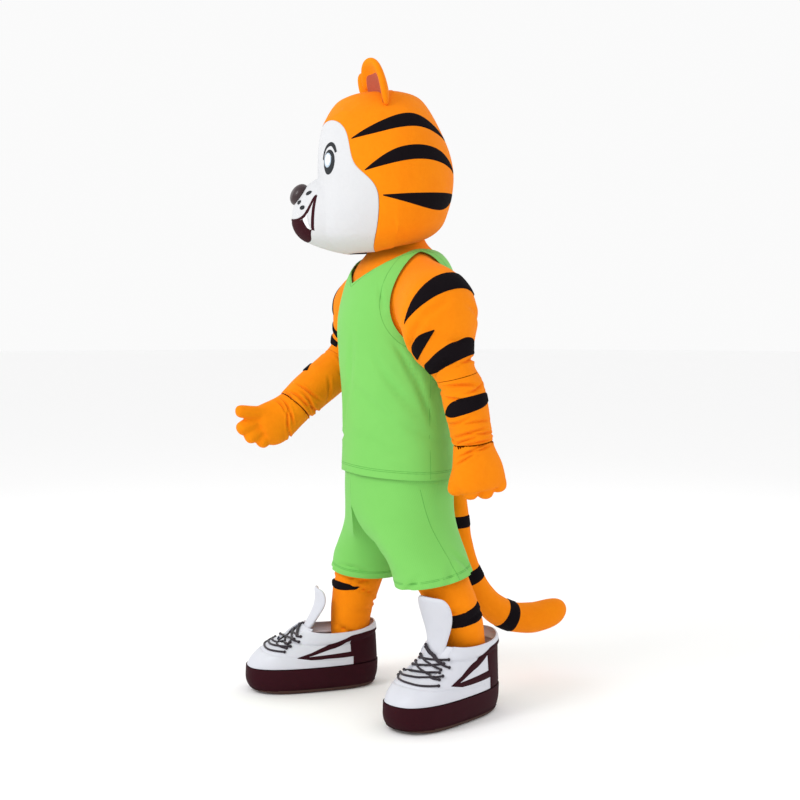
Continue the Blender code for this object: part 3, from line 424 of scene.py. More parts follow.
class Axis:
    # a line up through a limb or the body; around is 0 at the front, 90 at the mascot's left

    def __init__(self, low, high, radius):
        self.low = np.array(low, float)
        self.up = np.array(high, float) - self.low
        self.length = float(np.linalg.norm(self.up))
        self.up /= self.length
        front = np.array((0, -1, 0)) - self.up * np.dot((0, -1, 0), self.up)
        self.front = front / np.linalg.norm(front)
        self.side = np.cross(self.up, self.front)
        self.radius = radius

    def read(self, points):
        offset = points - self.low
        along = offset @ self.up
        away = offset - np.outer(along, self.up)
        reach = np.maximum(np.linalg.norm(away, axis=1), 1e-6)
        angle = np.degrees(np.arctan2(away @ self.side, away @ self.front))
        return angle, along, away / reach[:, None], reach

    def spot(self, angle, along, reach):
        turn = math.radians(angle)
        out = self.front * math.cos(turn) + self.side * math.sin(turn)
        return Vector(self.low + self.up * along + out * reach), Vector(out)


def tubeAxis(nodeName):
    # through the two open ends of a sleeve or a leg
    points = pointsOf(frame["nodes"][nodeName])
    middle = points.mean(axis=0)
    way = np.linalg.svd(points - middle, full_matrices=False)[2][0]
    way = way if way[2] > 0 else -way
    along = (points - middle) @ way
    low = points[along < np.percentile(along, 20)].mean(axis=0)
    high = points[along > np.percentile(along, 80)].mean(axis=0)
    offset = points - low
    up = (high - low) / np.linalg.norm(high - low)
    reach = np.linalg.norm(offset - np.outer(offset @ up, up), axis=1)
    start = low + up * ((points - low) @ up).min()
    end = low + up * ((points - low) @ up).max()
    return Axis(start, end, float(np.median(reach)))


foldLook = {
    "gain": 1.6,
    "steepest": 1.2,    # no fold is deeper than this many times its width
    "calmEnd": 0.014,   # the folds ease off this near to a seam
}


def foldCloth(piece, axis, folds, unevenness=0.0, patchSize=0.09, flare=None):
    # folds are rows of around, along, turn, length, width, depth and bow: degrees, metres and millimetres
    points = pointsOf(piece)
    angle, along, away, reach = axis.read(points)
    depth = np.zeros(len(points))
    for centre, height, turn, length, width, deep, bow in folds:
        across = np.radians((angle - centre + 180) % 360 - 180) * np.minimum(reach, 1.3 * axis.radius)
        up = along - height
        turn = math.radians(turn)
        run = across * math.cos(turn) + up * math.sin(turn)
        off = up * math.cos(turn) - across * math.sin(turn) + bow * run * run
        taper = np.clip(1 - (2 * run / length) ** 2, 0, 1) ** 1.5
        x = off / (width / 1000)
        most = min(foldLook["gain"] * deep, foldLook["steepest"] * width)
        depth += most / 1000 * taper * (1 - 1.5 * x * x) * np.exp(-x * x)
    if unevenness:
        rough = np.array([noise.noise(Vector(point) / patchSize) for point in points])
        depth += unevenness / 1000 * rough
    depth *= np.clip(np.minimum(along, axis.length - along) / foldLook["calmEnd"] + 0.3, 0, 1)
    if flare:
        height, reachOut = flare
        share = np.clip((height - along) / 0.14, 0, 1)
        depth -= reachOut / 1000 * share * share * (3 - 2 * share)
    putPoints(piece, points - away * depth[:, None])
    return piece


def clothUv(piece, axis):
    # metres round the axis and along it, with the join of the turn kept off any one face
    mesh = piece.data
    angle, along, away, reach = axis.read(pointsOf(piece))
    layer = mesh.uv_layers.get("cloth") or mesh.uv_layers.new(name="cloth")
    corners = np.empty(len(mesh.loops), np.int32)
    mesh.loops.foreach_get("vertex_index", corners)
    turn = angle[corners]
    for face in mesh.polygons:
        span = slice(face.loop_start, face.loop_start + face.loop_total)
        if turn[span].max() - turn[span].min() > 180:
            turn[span] = np.where(turn[span] < 0, turn[span] + 360, turn[span])
    values = np.column_stack([np.radians(turn) * axis.radius, along[corners]])
    layer.data.foreach_set("uv", values.ravel())
    mesh.uv_layers.active = layer
    for other in [each for each in mesh.uv_layers if each.name != "cloth"]:
        mesh.uv_layers.remove(other)
    return piece


# appliques: pieces that lie on a garment

def skinOf(nodeName, name, ground):
    # the outer face of a thin solid that lies on the garment
    piece = fromNode(nodeName, name)
    chosen = []
    for face in piece.data.polygons:
        spot, normal, _, _ = ground.find_nearest(face.center)
        outward = normal if (face.center - spot).dot(normal) > 0 else -normal
        chosen.append(face.normal.dot(outward) > 0.45)
    bpy.ops.object.mode_set(mode="EDIT")
    bpy.ops.mesh.select_mode(type="FACE")
    bpy.ops.mesh.select_all(action="DESELECT")
    bpy.ops.object.mode_set(mode="OBJECT")
    for face, keep in zip(piece.data.polygons, chosen):
        face.select = not keep
    bpy.ops.object.mode_set(mode="EDIT")
    bpy.ops.mesh.delete(type="FACE")
    bpy.ops.object.mode_set(mode="OBJECT")
    return piece


def layOn(piece, ground, rise, soft=0.005, wall=0.0014):
    # pressed on the garment, a little proud in its middle, its edge sewn down
    mesh = piece.data
    counts = {}
    for face in mesh.polygons:
        for key in face.edge_keys:
            counts[key] = counts.get(key, 0) + 1
    rim = {k for key, count in counts.items() if count == 1 for k in key}
    edge = KDTree(len(rim))
    for k in rim:
        edge.insert(mesh.vertices[k].co, k)
    edge.balance()
    points = []
    for vertex in mesh.vertices:
        spot, normal, _, _ = ground.find_nearest(vertex.co)
        normal = normal if (vertex.co - spot).dot(normal) >= 0 else -normal
        share = min(edge.find(vertex.co)[2] / soft, 1)
        points.append(spot + normal * (0.0003 + rise * share * (2 - share)))
    putPoints(piece, np.array(points))
    applied(piece, "SOLIDIFY", thickness=wall, offset=-1)
    return piece


def sewOn(nodeName, slotName, ground, rise=0.0016):
    piece = skinOf(nodeName, nodeName + "_sewn", ground)
    subdivided(piece, 3, boundary_smooth="PRESERVE_CORNERS")
    layOn(piece, ground, rise)
    return ready(piece, slotName, nodeName)


def patchOn(name, outlineLow, outlineHigh, rows, place, ground, rise, soft=0.003):
    # a filled shape between two lines of (across, up) points, laid on a surface through place()
    low, high = refined(outlineLow), refined(outlineHigh)
    points, faces = [], []
    for (x0, y0), (x1, y1) in zip(low, high):
        points += [place(x0 + (x1 - x0) * k / rows, y0 + (y1 - y0) * k / rows) for k in range(rows + 1)]
    for i in range(len(low) - 1):
        for k in range(rows):
            a = i * (rows + 1) + k
            faces.append((a, a + 1, a + rows + 2, a + rows + 1))
    mesh = bpy.data.meshes.new(name)
    mesh.from_pydata(points, [], faces)
    piece = bpy.data.objects.new(name, mesh)
    bpy.context.scene.collection.objects.link(piece)
    only(piece)
    bpy.ops.object.mode_set(mode="EDIT")
    bpy.ops.mesh.select_all(action="SELECT")
    bpy.ops.mesh.remove_doubles(threshold=0.0002)
    bpy.ops.object.mode_set(mode="OBJECT")
    outwards(piece, ground)
    return layOn(piece, ground, rise, soft)


def outwards(piece, ground):
    facing = 0
    for face in piece.data.polygons:
        spot, normal, _, _ = ground.find_nearest(face.center)
        facing += face.normal.dot(normal)
    if facing < 0:
        piece.data.flip_normals()


def refined(points, steps=6):
    # a smooth line through a few points
    rows = [Vector(point) for point in points]
    line = []
    for k in range(len(rows) - 1):
        before, after = rows[max(k - 1, 0)], rows[min(k + 2, len(rows) - 1)]
        a, b = rows[k], rows[k + 1]
        for step in range(steps):
            t = step / steps
            line.append(0.5 * ((2 * a) + (b - before) * t + (2 * before - 5 * a + 4 * b - after) * t * t
                               + (3 * a - before - 3 * b + after) * t ** 3))
    return line + [rows[-1]]


# suit and jersey

torsoAxis = Axis((0, 0, floorHeight), (0, 0, floorHeight + 1.5), 0.2)
jerseyCut = {"unevenness": 2.6, "patchSize": 0.10, "flare": (0.86, 7.0)}
jerseyStitch = {  # rises over the hem; the side seam's foot, step and count; angle and height at the neck
    "hem": (0.021, 0.026),
    "side": (0.712, 0.0415, 11),
    "neckFront": [(0, 1.290), (20, 1.322), (40, 1.352), (66, 1.380), (84, 1.394)],
    "neckBack": [(180, 1.384), (140, 1.389), (96, 1.394)],
}
armhole = {"height": 1.249, "half": 0.157, "front": 43, "back": 35}
jerseyFolds = [  # around, along, turn, length, width, depth, bow
    (72, 1.05, -62, 0.20, 14, 5.0, 0.8),
    (60, 0.99, -50, 0.26, 17, 4.5, -0.6),
    (40, 0.93, -38, 0.30, 20, 4.0, 0.9),
    (84, 0.96, -70, 0.22, 13, 4.0, -1.0),
    (100, 1.03, 60, 0.16, 12, 4.5, 0.8),
    (30, 0.83, -14, 0.22, 12, 3.0, 1.2),
    (52, 0.80, -8, 0.20, 11, 2.6, -0.8),
    (78, 0.86, -24, 0.22, 15, 3.6, 0.6),
    (112, 0.84, 20, 0.18, 12, 3.6, 0.6),
    (118, 0.93, 34, 0.20, 13, 4.0, -0.7),
    (10, 1.05, 78, 0.24, 22, 3.0, 0.0),
    (-14, 0.90, 60, 0.24, 20, 3.4, 0.6),
    (-50, 1.02, 52, 0.24, 16, 4.4, 0.5),
    (-70, 0.94, 40, 0.24, 15, 4.0, -0.8),
    (-38, 0.82, 16, 0.20, 12, 3.0, 1.0),
    (150, 1.02, 70, 0.26, 18, 3.6, 0.4),
    (172, 0.90, -60, 0.28, 20, 4.0, 0.5),
    (-150, 0.98, -64, 0.26, 18, 4.0, -0.5),
    (-120, 0.86, -30, 0.22, 14, 4.0, 0.8),
    (-100, 1.04, -58, 0.18, 13, 4.5, 0.6),
    (160, 0.80, 10, 0.24, 13, 3.0, -0.8),
    (48, 1.26, -72, 0.12, 12, 2.4, 0.5),
    (-48, 1.26, 72, 0.12, 12, 2.4, -0.5),
    (140, 1.28, 66, 0.14, 14, 3.0, 0.5),
    (-140, 1.28, -66, 0.14, 14, 3.0, 0.5),
]


def seamOn(ground, axis, line, radius=0.0007):
    # a row of stitches along places of angle and height, sunk halfway into the cloth
    path = []
    for angle, height in line:
        start, out = axis.spot(angle, height, 0.6)
        spot = ground.ray_cast(start, -out)[0]
        if spot:
            path.append(spot)
    return cordMesh("stitches", path, radius)


def hemLines(piece, axis, rises):
    # rows of stitches that keep an even distance from the lowest edge of the cloth
    points = pointsOf(piece)
    angle, along, away, reach = axis.read(points)
    slots = np.round(angle / 6).astype(int) % 60
    lowest = [along[slots == k].min() for k in range(60)]
    lowest = [(lowest[k - 1] + lowest[k] + lowest[(k + 1) % 60]) / 3 for k in range(60)]
    ground = treeOf(piece)
    return [seamOn(ground, axis, [(6 * k, lowest[k % 60] + rise) for k in range(61)]) for rise in rises]


def makeTorso():
    print("suit body and jersey")
    suit = smoothWall(("suit_front", "suit_back"), "suitBody_plush", 3)
    foldCloth(suit, torsoAxis, jerseyFolds)
    ready(suit, "orange_plush", "suit_front", "suit_back")
    jersey = smoothWall(("jersey_front", "jersey_back"), "tankJersey_knit", 3)
    foldCloth(jersey, torsoAxis, jerseyFolds, **jerseyCut)
    clothUv(jersey, torsoAxis)
    stitches = hemLines(jersey, torsoAxis, jerseyStitch["hem"])
    ground = treeOf(jersey)
    foot, step, count = jerseyStitch["side"]
    for way in (1, -1):
        edge = []
        for k in range(49):
            turn = math.radians(7.5 * k)
            reach = armhole["front"] if math.cos(turn) > 0 else armhole["back"]
            edge.append((way * (90 - reach * math.cos(turn)),
                         armhole["height"] + armhole["half"] * math.sin(turn)))
        stitches.append(seamOn(ground, torsoAxis, edge))
        stitches.append(seamOn(ground, torsoAxis, [(way * 90, foot + step * k) for k in range(count)]))
    for line in (jerseyStitch["neckFront"], jerseyStitch["neckBack"]):
        edge = refined(line)
        stitches.append(seamOn(ground, torsoAxis, edge))
        stitches.append(seamOn(ground, torsoAxis, [(-angle, height) for angle, height in edge]))
    ready(jersey, "green_knit", "jersey_front", "jersey_back")
    ready(joined("tankJersey_stitching", stitches), "green_knit", finishName="green_thread")


# arms

sleeveFolds = {
    "left": [
        (40, 0.05, 10, 0.16, 9, 6, 2.0), (85, 0.10, -12, 0.15, 12, 5, -1.5),
        (110, 0.045, 8, 0.14, 8, 6, 1.0),
        (20, 0.15, 38, 0.13, 13, 5, 1.0), (130, 0.17, -30, 0.14, 14, 5, 1.0),
        (60, 0.20, 24, 0.12, 14, 4, 0.5),
        (-40, 0.09, 30, 0.15, 12, 6, 1.0), (-110, 0.08, -20, 0.16, 12, 6, -1.0),
        (180, 0.06, 10, 0.14, 9, 6, 1.0),
    ],
    "right": [
        (40, 0.06, 14, 0.15, 10, 6, 2.0), (80, 0.11, -20, 0.15, 12, 6, -1.5),
        (120, 0.06, 12, 0.13, 10, 6, 1.0),
        (10, 0.16, 30, 0.13, 13, 5, 1.0), (-60, 0.10, -24, 0.16, 12, 5, 1.0),
        (-120, 0.08, 14, 0.15, 12, 6, -1.0),
        (170, 0.05, 10, 0.16, 9, 6, 1.0), (-20, 0.05, -14, 0.13, 9, 6, 1.0),
    ],
}
forearmFolds = {
    "left": [
        (70, 0.186, -10, 0.15, 7, 5, 2.0), (115, 0.164, 12, 0.13, 6, 5, -2.0),
        (45, 0.150, -16, 0.12, 6, 4, 1.5),
        (30, 0.078, 8, 0.13, 7, 4, -1.5), (95, 0.070, -7, 0.16, 6, 4, 1.5),
        (60, 0.044, 6, 0.17, 6, 6, 1.2),
        (110, 0.030, -8, 0.14, 5, 6, -1.5), (35, 0.022, 10, 0.12, 5, 6, 1.0),
        (85, 0.010, -3, 0.17, 5, 6, 0.5),
        (-60, 0.17, 14, 0.15, 8, 5, 1.0), (-120, 0.05, -10, 0.16, 7, 6, 1.5),
        (180, 0.02, 8, 0.15, 6, 6, -1.0),
        (-30, 0.03, -12, 0.13, 6, 6, 1.0), (-150, 0.15, -12, 0.16, 8, 5, 1.0),
    ],
    "right": [
        (70, 0.205, -14, 0.13, 7, 5, 2.0), (110, 0.190, 16, 0.12, 7, 5, -2.0),
        (100, 0.120, -30, 0.13, 8, 3, 1.0),
        (60, 0.062, 14, 0.14, 6, 6, -1.5), (95, 0.045, -6, 0.15, 6, 6, 1.5),
        (60, 0.028, 8, 0.15, 6, 6, 1.5),
        (100, 0.014, 6, 0.15, 5, 6, -1.0), (40, 0.008, -6, 0.13, 5, 6, 1.0),
        (140, 0.05, 14, 0.14, 7, 6, 1.0),
        (-60, 0.19, 10, 0.15, 8, 5, 1.0), (-110, 0.05, -8, 0.16, 7, 6, 1.5),
        (180, 0.03, 8, 0.15, 6, 6, -1.0),
    ],
}
gloveFolds = {
    "left": [(70, 0.178, 6, 0.16, 6, 5, 1.0), (100, 0.168, -8, 0.12, 5, 4, -1.5),
             (35, 0.160, 14, 0.10, 6, 4, 1.0),
             (180, 0.17, 6, 0.14, 6, 5, 1.0), (-90, 0.172, -6, 0.16, 6, 5, 1.0)],
    "right": [(75, 0.178, 6, 0.15, 6, 5, 1.0), (110, 0.165, -10, 0.12, 5, 5, -1.5),
              (40, 0.16, 14, 0.10, 6, 4, 1.0),
              (180, 0.17, 6, 0.14, 6, 5, 1.0), (-90, 0.17, -6, 0.16, 6, 5, 1.0)],
}
armLook = {"voxel": 0.0026, "smoothing": 6, "stripeRise": 0.0034}   # voxel and smoothing of the gloves


def makeArms():
    print("sleeves and gloves")
    for side in sides:
        sleeve = smoothWall("sleeve_" + side, "sleeve_" + side + "_plush", 3)
        forearm = smoothWall("forearm_" + side, "forearm_" + side + "_plush", 4)
        ground = treeOf(sleeve, forearm)
        onSleeve = [sewOn(f"stripe_{each}_{side}", "black_plush", ground, armLook["stripeRise"])
                    for each in ("crescent", "dart", "elbow")]
        onForearm = sewOn("stripe_forearm_" + side, "black_plush", ground, armLook["stripeRise"])
        for piece in (sleeve, *onSleeve):
            foldCloth(piece, tubeAxis("sleeve_" + side), sleeveFolds[side], 2.5, 0.07)
        for piece in (forearm, onForearm):
            foldCloth(piece, tubeAxis("forearm_" + side), forearmFolds[side], 1.6, 0.05)
        ready(sleeve, "orange_plush", "sleeve_" + side)
        ready(thinned(forearm, 0.6), "orange_plush", "forearm_" + side)
        glove = fromNode("glove_" + side, "glove_" + side + "_plush")
        subdivided(glove, 2)
        applied(glove, "REMESH", mode="VOXEL", voxel_size=armLook["voxel"])
        applied(glove, "SMOOTH", factor=0.7, iterations=armLook["smoothing"])
        foldCloth(glove, tubeAxis("glove_" + side), gloveFolds[side], 1.2, 0.04)
        ready(glove, "orange_plush", "glove_" + side)


# legs and shorts

legFolds = {
    "left": [(60, 0.20, -10, 0.18, 10, 5, 1.0), (100, 0.16, 12, 0.14, 9, 5, -1.0),
             (70, 0.075, -8, 0.16, 9, 5, 1.0),
             (30, 0.25, 16, 0.16, 12, 5, 1.0), (120, 0.05, 30, 0.10, 9, 6, 1.0),
             (-60, 0.2, 12, 0.18, 10, 5, 1.0),
             (-120, 0.1, -14, 0.18, 10, 5, -1.0), (180, 0.18, 8, 0.18, 9, 6, 1.0)],
    "right": [(60, 0.22, -8, 0.18, 9, 5, 1.0), (30, 0.245, 8, 0.14, 8, 5, -1.0),
              (100, 0.15, 12, 0.14, 9, 4, 1.0),
              (60, 0.075, -8, 0.16, 9, 5, 1.0), (-60, 0.2, 12, 0.18, 10, 5, 1.0),
              (-120, 0.1, -14, 0.18, 10, 5, -1.0),
              (180, 0.18, 8, 0.18, 9, 6, 1.0)],
}
shortsFolds = {
    "left": [(70, 0.26, 64, 0.22, 16, 5, 0.6), (40, 0.22, 52, 0.24, 18, 5, -0.5),
             (100, 0.20, 74, 0.20, 14, 4, 0.4),
             (20, 0.30, 34, 0.16, 14, 5, 0.8), (120, 0.30, -58, 0.20, 16, 5, 0.4),
             (85, 0.08, 84, 0.16, 18, 5, 0.2),
             (-30, 0.12, 80, 0.18, 16, 5, 0.2), (150, 0.15, -76, 0.22, 18, 6, 0.3),
             (-170, 0.28, -50, 0.2, 16, 5, 0.5)],
    "right": [(20, 0.28, 12, 0.16, 10, 5, 1.0), (30, 0.22, 18, 0.16, 10, 5, -1.0),
              (40, 0.14, 24, 0.14, 11, 5, 0.8),
              (10, 0.10, 60, 0.16, 14, 4, 0.4), (-40, 0.24, -60, 0.22, 16, 5, 0.5),
              (-80, 0.18, -76, 0.22, 16, 5, 0.3),
              (-120, 0.26, 58, 0.22, 16, 5, 0.4), (-60, 0.08, -84, 0.16, 18, 5, 0.2),
              (170, 0.2, 60, 0.24, 18, 6, 0.4)],
}


shortsStitch = {"hem": (0.019, 0.023), "side": (0.12, 0.02, 42)}  # the side as shares of the leg's length
legStripeRise = 0.0034


def makeLegs():
    print("legs and shorts")
    for side, way in sides.items():
        axis = tubeAxis("leg_" + side)
        leg = smoothWall("leg_" + side, "leg_" + side + "_plush", 3)
        stripe = sewOn("stripe_leg_" + side, "black_plush", treeOf(leg), legStripeRise)
        for piece in (leg, stripe):
            foldCloth(piece, axis, legFolds[side], 2.0, 0.06)
        ready(leg, "orange_plush", "leg_" + side)
        panels = [f"shorts_{side}_{part}" for part in ("front", "back")]
        cloth = smoothWall(panels, "shorts_" + side + "_knit", 3)
        foldCloth(cloth, axis, shortsFolds[side], 2.0, 0.10)
        clothUv(cloth, axis)
        ready(cloth, "green_knit", *panels)
        stitches = hemLines(cloth, axis, shortsStitch["hem"])
        foot, step, count = shortsStitch["side"]
        seam = [(90 * way, axis.length * (foot + step * k)) for k in range(count)]
        stitches.append(seamOn(treeOf(cloth), axis, seam))
        ready(joined("shorts_" + side + "_stitching", stitches), "green_knit", finishName="green_thread")


# tail

tailLook = {"patch": 0.05, "lumps": 0.0022, "bandRise": 0.0012}


def makeTail():
    print("tail")
    tail = smoothWall("tail", "tail_plush", 3, 70)
    points = pointsOf(tail)
    rough = np.array([noise.noise(Vector(point) / tailLook["patch"]) for point in points])
    normals = np.array([tuple(vertex.normal) for vertex in tail.data.vertices])
    putPoints(tail, points + normals * (rough * tailLook["lumps"])[:, None])
    ground = treeOf(tail)
    for band in ("upper", "middle", "lower"):
        sewOn("tail_band_" + band, "black_plush", ground, tailLook["bandRise"])
    ready(tail, "orange_plush", "tail")


# head

headTurn = math.radians(-20)
headMiddle = Vector((0, -0.041, floorHeight))
muzzleShape = {"height": 1.520, "halfWidth": 0.115, "above": 0.100, "below": 0.132, "reach": 0.062}


def headSpot(across, forward, height):
    # a place in the head's own directions, its height over the floor
    return headMiddle + Matrix.Rotation(headTurn, 3, "Z") @ Vector((across, -forward, height))


tuck = {"tall": 0.055, "reach": 0.050}


def tuckRim(*pieces):
    # the shell turns in under the jaw and the nape
    clouds = [pointsOf(piece) for piece in pieces]
    turns = [np.degrees(np.arctan2(each[:, 0], headMiddle.y - each[:, 1])) for each in clouds]
    every, turn = np.concatenate(clouds), np.concatenate(turns)
    slots = np.round(turn / 12).astype(int)
    names = sorted(set(slots))
    lowest = [every[slots == k, 2].min() for k in names]
    for piece, points, angle in zip(pieces, clouds, turns):
        rim = np.interp(angle, [12 * k for k in names], lowest)
        share = np.clip(1 - (points[:, 2] - rim) / tuck["tall"], 0, 1)
        away = points - np.array(headMiddle)
        away[:, 2] = 0
        away /= np.linalg.norm(away, axis=1)[:, None]
        putPoints(piece, points - away * (tuck["reach"] * (1 - np.sqrt(1 - 0.98 * share ** 2)))[:, None])


earLook = {"swell": 0.0035, "foot": 1.08, "liningFoot": 1.35}


def stretchDown(piece, factor):
    # its foot goes down into the shell, its top stays
    points = pointsOf(piece)
    top = points[:, 2].max()
    points[:, 2] = top - (top - points[:, 2]) * factor
    putPoints(piece, points)


def makeHead():
    print("head")
    face = smoothWall("face", "face_plush", 4)
    points = pointsOf(face)
    turn = np.array(Matrix.Rotation(headTurn, 3, "Z"))
    local = (points - np.array(headMiddle)) @ turn
    up = local[:, 2] - muzzleShape["height"]
    tall = np.where(up > 0, muzzleShape["above"], muzzleShape["below"])
    r = (local[:, 0] / muzzleShape["halfWidth"]) ** 2 + (up / tall) ** 2
    share = np.clip(1 - r, 0, 1)
    front = np.clip((-local[:, 1] - 0.10) / 0.06, 0, 1)
    local[:, 1] -= muzzleShape["reach"] * share ** 0.75 * front
    putPoints(face, local @ turn.T + np.array(headMiddle))
    applied(face, "SMOOTH", factor=0.5, iterations=3)
    cap = smoothWall(("head_cap", "head_back"), "headShell_plush", 3)
    ground = treeOf(cap)
    for stripe in ("top", "middle", "low"):
        for side in sides:
            sewOn(f"head_stripe_{stripe}_{side}", "black_plush", ground)
    tuckRim(cap, face)
    ready(cap, "orange_plush", "head_cap", "head_back")
    makeFeatures(treeOf(face))
    ready(face, "white_plush", "face", "muzzle")
    for side in sides:
        ear = fromNode("ear_" + side, "ear_" + side + "_plush")
        subdivided(ear, 3)
        swell(ear, earLook["swell"])
        stretchDown(ear, earLook["foot"])
        ready(ear, "orange_plush", "ear_" + side)
        lining = fromNode("ear_lining_" + side, "earLining_" + side)
        subdivided(lining, 3)
        stretchDown(lining, earLook["liningFoot"])
        ready(lining, "ear_plush", "ear_lining_" + side)


mouth = {
    "lipUpper": [(0, -0.0215), (0.025, -0.0245), (0.052, -0.0235), (0.070, -0.015), (0.080, 0.000),
                 (0.085, 0.018), (0.086, 0.040), (0.088, 0.046)],
    "lipLower": [(0, -0.0290), (0.025, -0.0315), (0.055, -0.0305), (0.075, -0.022), (0.0855, -0.006),
                 (0.0905, 0.014), (0.0915, 0.038), (0.089, 0.046)],
    "chinUpper": [(0, -0.029), (0.025, -0.0315), (0.050, -0.031), (0.066, -0.028), (0.078, -0.020)],
    "chinLower": [(0, -0.095), (0.025, -0.094), (0.045, -0.090), (0.062, -0.080), (0.080, -0.060)],
    "edgeInner": [(0.080, -0.060), (0.0880, -0.036), (0.0925, -0.010), (0.0925, 0.016), (0.089, 0.040)],
    "edgeOuter": [(0.085, -0.062), (0.0940, -0.037), (0.0985, -0.010), (0.098, 0.018), (0.092, 0.044)],
    "fangTop": [(0.069, -0.026), (0.077, -0.020), (0.084, -0.008)],
    "fangTip": [(0.0750, -0.056), (0.0785, -0.060), (0.082, -0.053)],
}
whiskerDots = {"wide": 0.0080, "tall": 0.0068, "spots": [(0.064, 0.052), (0.046, 0.025), (0.066, 0.008)]}
noseShape = {"forward": 0.272, "height": 1.571, "halfWidth": 0.040, "halfDeep": 0.026, "halfHeight": 0.036,
             "tilt": 34}
eye = {"across": 0.112, "height": 1.660, "halfWidth": 0.026, "halfHeight": 0.037,
       "lashOuter": [(0.077, 1.670), (0.081, 1.692), (0.095, 1.712), (0.116, 1.719), (0.133, 1.709),
                     (0.143, 1.688)],
       "lashInner": [(0.084, 1.669), (0.089, 1.687), (0.100, 1.702), (0.116, 1.707), (0.127, 1.699),
                     (0.137, 1.685)]}


featureRise = {"mouth": 0.0014, "fang": 0.0034, "dot": 0.0022, "eye": 0.0012, "pale": 0.0022, "light": 0.0030}


def makeFeatures(ground):
    back = headSpot(0, 0, 0) - headSpot(0, 1, 0)

    def place(across, height):
        start = headSpot(across, 0.5, height)
        spot = ground.ray_cast(start, back)[0]
        return spot - back * 0.0005 if spot else start

    def low(across, up):
        return place(across, muzzleShape["height"] + up)

    halves = []
    for way in (1, -1):
        for lower, upper, count in (("lipLower", "lipUpper", 3), ("chinLower", "chinUpper", 12),
                                    ("edgeInner", "edgeOuter", 3)):
            halves.append(patchOn("mouthHalf", [(way * x, y) for x, y in mouth[lower]],
                                  [(way * x, y) for x, y in mouth[upper]], count, low, ground,
                                  featureRise["mouth"]))
    ready(joined("mouth_felt", halves), "mouth_felt", "mouth")
    for side, way in sides.items():
        top = [(way * x, y) for x, y in mouth["fangTop"]]
        tip = [(way * x, y) for x, y in mouth["fangTip"]]
        fang = patchOn("fang_" + side + "_felt", tip, top, 8, low, ground, featureRise["fang"])
        ready(fang, "fang_felt", "fang_" + side)
        dots = []
        for x, y in whiskerDots["spots"]:
            dots.append(ovalOn("dot", way * x, muzzleShape["height"] + y, whiskerDots["wide"],
                               whiskerDots["tall"], place, ground, featureRise["dot"]))
        ready(joined("whiskerDots_" + side, dots), "eye_print")
        middle, height = way * eye["across"], eye["height"]
        wide, tall = eye["halfWidth"], eye["halfHeight"]
        disc = ovalOn("eye_" + side + "_print", middle, height, wide, tall, place, ground,
                      featureRise["eye"])
        lashOuter = [(way * x, y) for x, y in eye["lashOuter"]]
        lashInner = [(way * x, y) for x, y in eye["lashInner"]]
        lash = patchOn("lash", lashInner, lashOuter, 3, place, ground, featureRise["eye"])
        ready(joined("eye_" + side + "_print", [disc, lash]), "eye_print", "eye_" + side)
        pale = ovalOn("eyePale_" + side, middle - way * 0.004, height + 0.006, wide * 0.66, tall * 0.66,
                      place, ground, featureRise["pale"])
        ready(pale, "eye_print", finishName="eye_pale")
        light = ovalOn("eyeLight_" + side, middle - way * 0.002, height + 0.007, wide * 0.46, tall * 0.52,
                       place, ground, featureRise["light"])
        ready(light, "eye_print", finishName="eye_white")
    bpy.ops.object.select_all(action="DESELECT")
    bpy.ops.mesh.primitive_uv_sphere_add(segments=48, ring_count=24, radius=1,
                                         location=headSpot(0, noseShape["forward"], noseShape["height"]))
    nose = bpy.context.object
    nose.name = "nose_gloss"
    nose.rotation_euler = (math.radians(-noseShape["tilt"]), 0, headTurn)
    nose.scale = (noseShape["halfWidth"], noseShape["halfDeep"], noseShape["halfHeight"])
    ready(settle(nose), "nose_gloss", "nose")


def ovalOn(name, across, height, wide, tall, place, ground, rise):
    rows = []
    for k in range(25):
        turn = math.pi * (1 - k / 24)
        rows.append((across + wide * math.cos(turn), tall * math.sin(turn)))
    low = [(x, height - y) for x, y in rows]
    high = [(x, height + y) for x, y in rows]
    return patchOn(name, low[::4], high[::4], 10, place, ground, rise, 0.002)


# shoes

toeOut = {"left": 20, "right": -10}
collar = {  # height at the heel, the ankle and the throat
    "left": (0.246, 0.222, 0.232),
    "right": (0.208, 0.186, 0.205),
}
collarPad = {"band": 0.034, "swell": 0.006, "groove": 0.003}
overlay = {  # angle round the shoe: foxing, lower arm's edges, window's top, upper edge
    62: (0.1280, 0.1282, 0.1284, 0.1286, 0.1290), 68: (0.110, 0.1235, 0.1300, 0.1305, 0.1385),
    75: (0.083, 0.1175, 0.132, 0.134, 0.1485), 86: (0.083, 0.116, 0.134, 0.150, 0.171),
    97: (0.083, 0.116, 0.137, 0.169, 0.192), 107: (0.083, 0.117, 0.139, 0.186, 0.209),
    111: (0.083, 0.117, 0.139, 0.186, 0.212), 130: (0.083, 0.117, 0.139, 0.186, 0.219),
    155: (0.083, 0.117, 0.139, 0.186, 0.222), 175: (0.083, 0.117, 0.139, 0.186, 0.222),
}
overlayShare = {"left": 1.0, "right": 0.74}
toeFill = 0.010
instep = [(0.372, 0.126), (0.336, 0.145), (0.303, 0.170), (0.272, 0.198), (0.253, 0.222), (0.249, 0.228)]
toeSeam = [(-100, 0.100), (-70, 0.114), (-45, 0.124), (-20, 0.130), (0, 0.131), (20, 0.130), (45, 0.124),
           (70, 0.114), (100, 0.100)]
laceRuns = [  # angle and height at one end and at the other
    (-36, 0.142, 47, 0.136), (-38, 0.155, 43, 0.166), (-38, 0.148, 50, 0.158), (-40, 0.177, 46, 0.150),
    (-40, 0.168, 47, 0.186), (-38, 0.196, 44, 0.172), (-34, 0.188, 56, 0.196), (-32, 0.218, 58, 0.176),
    (-30, 0.226, 40, 0.188),
]
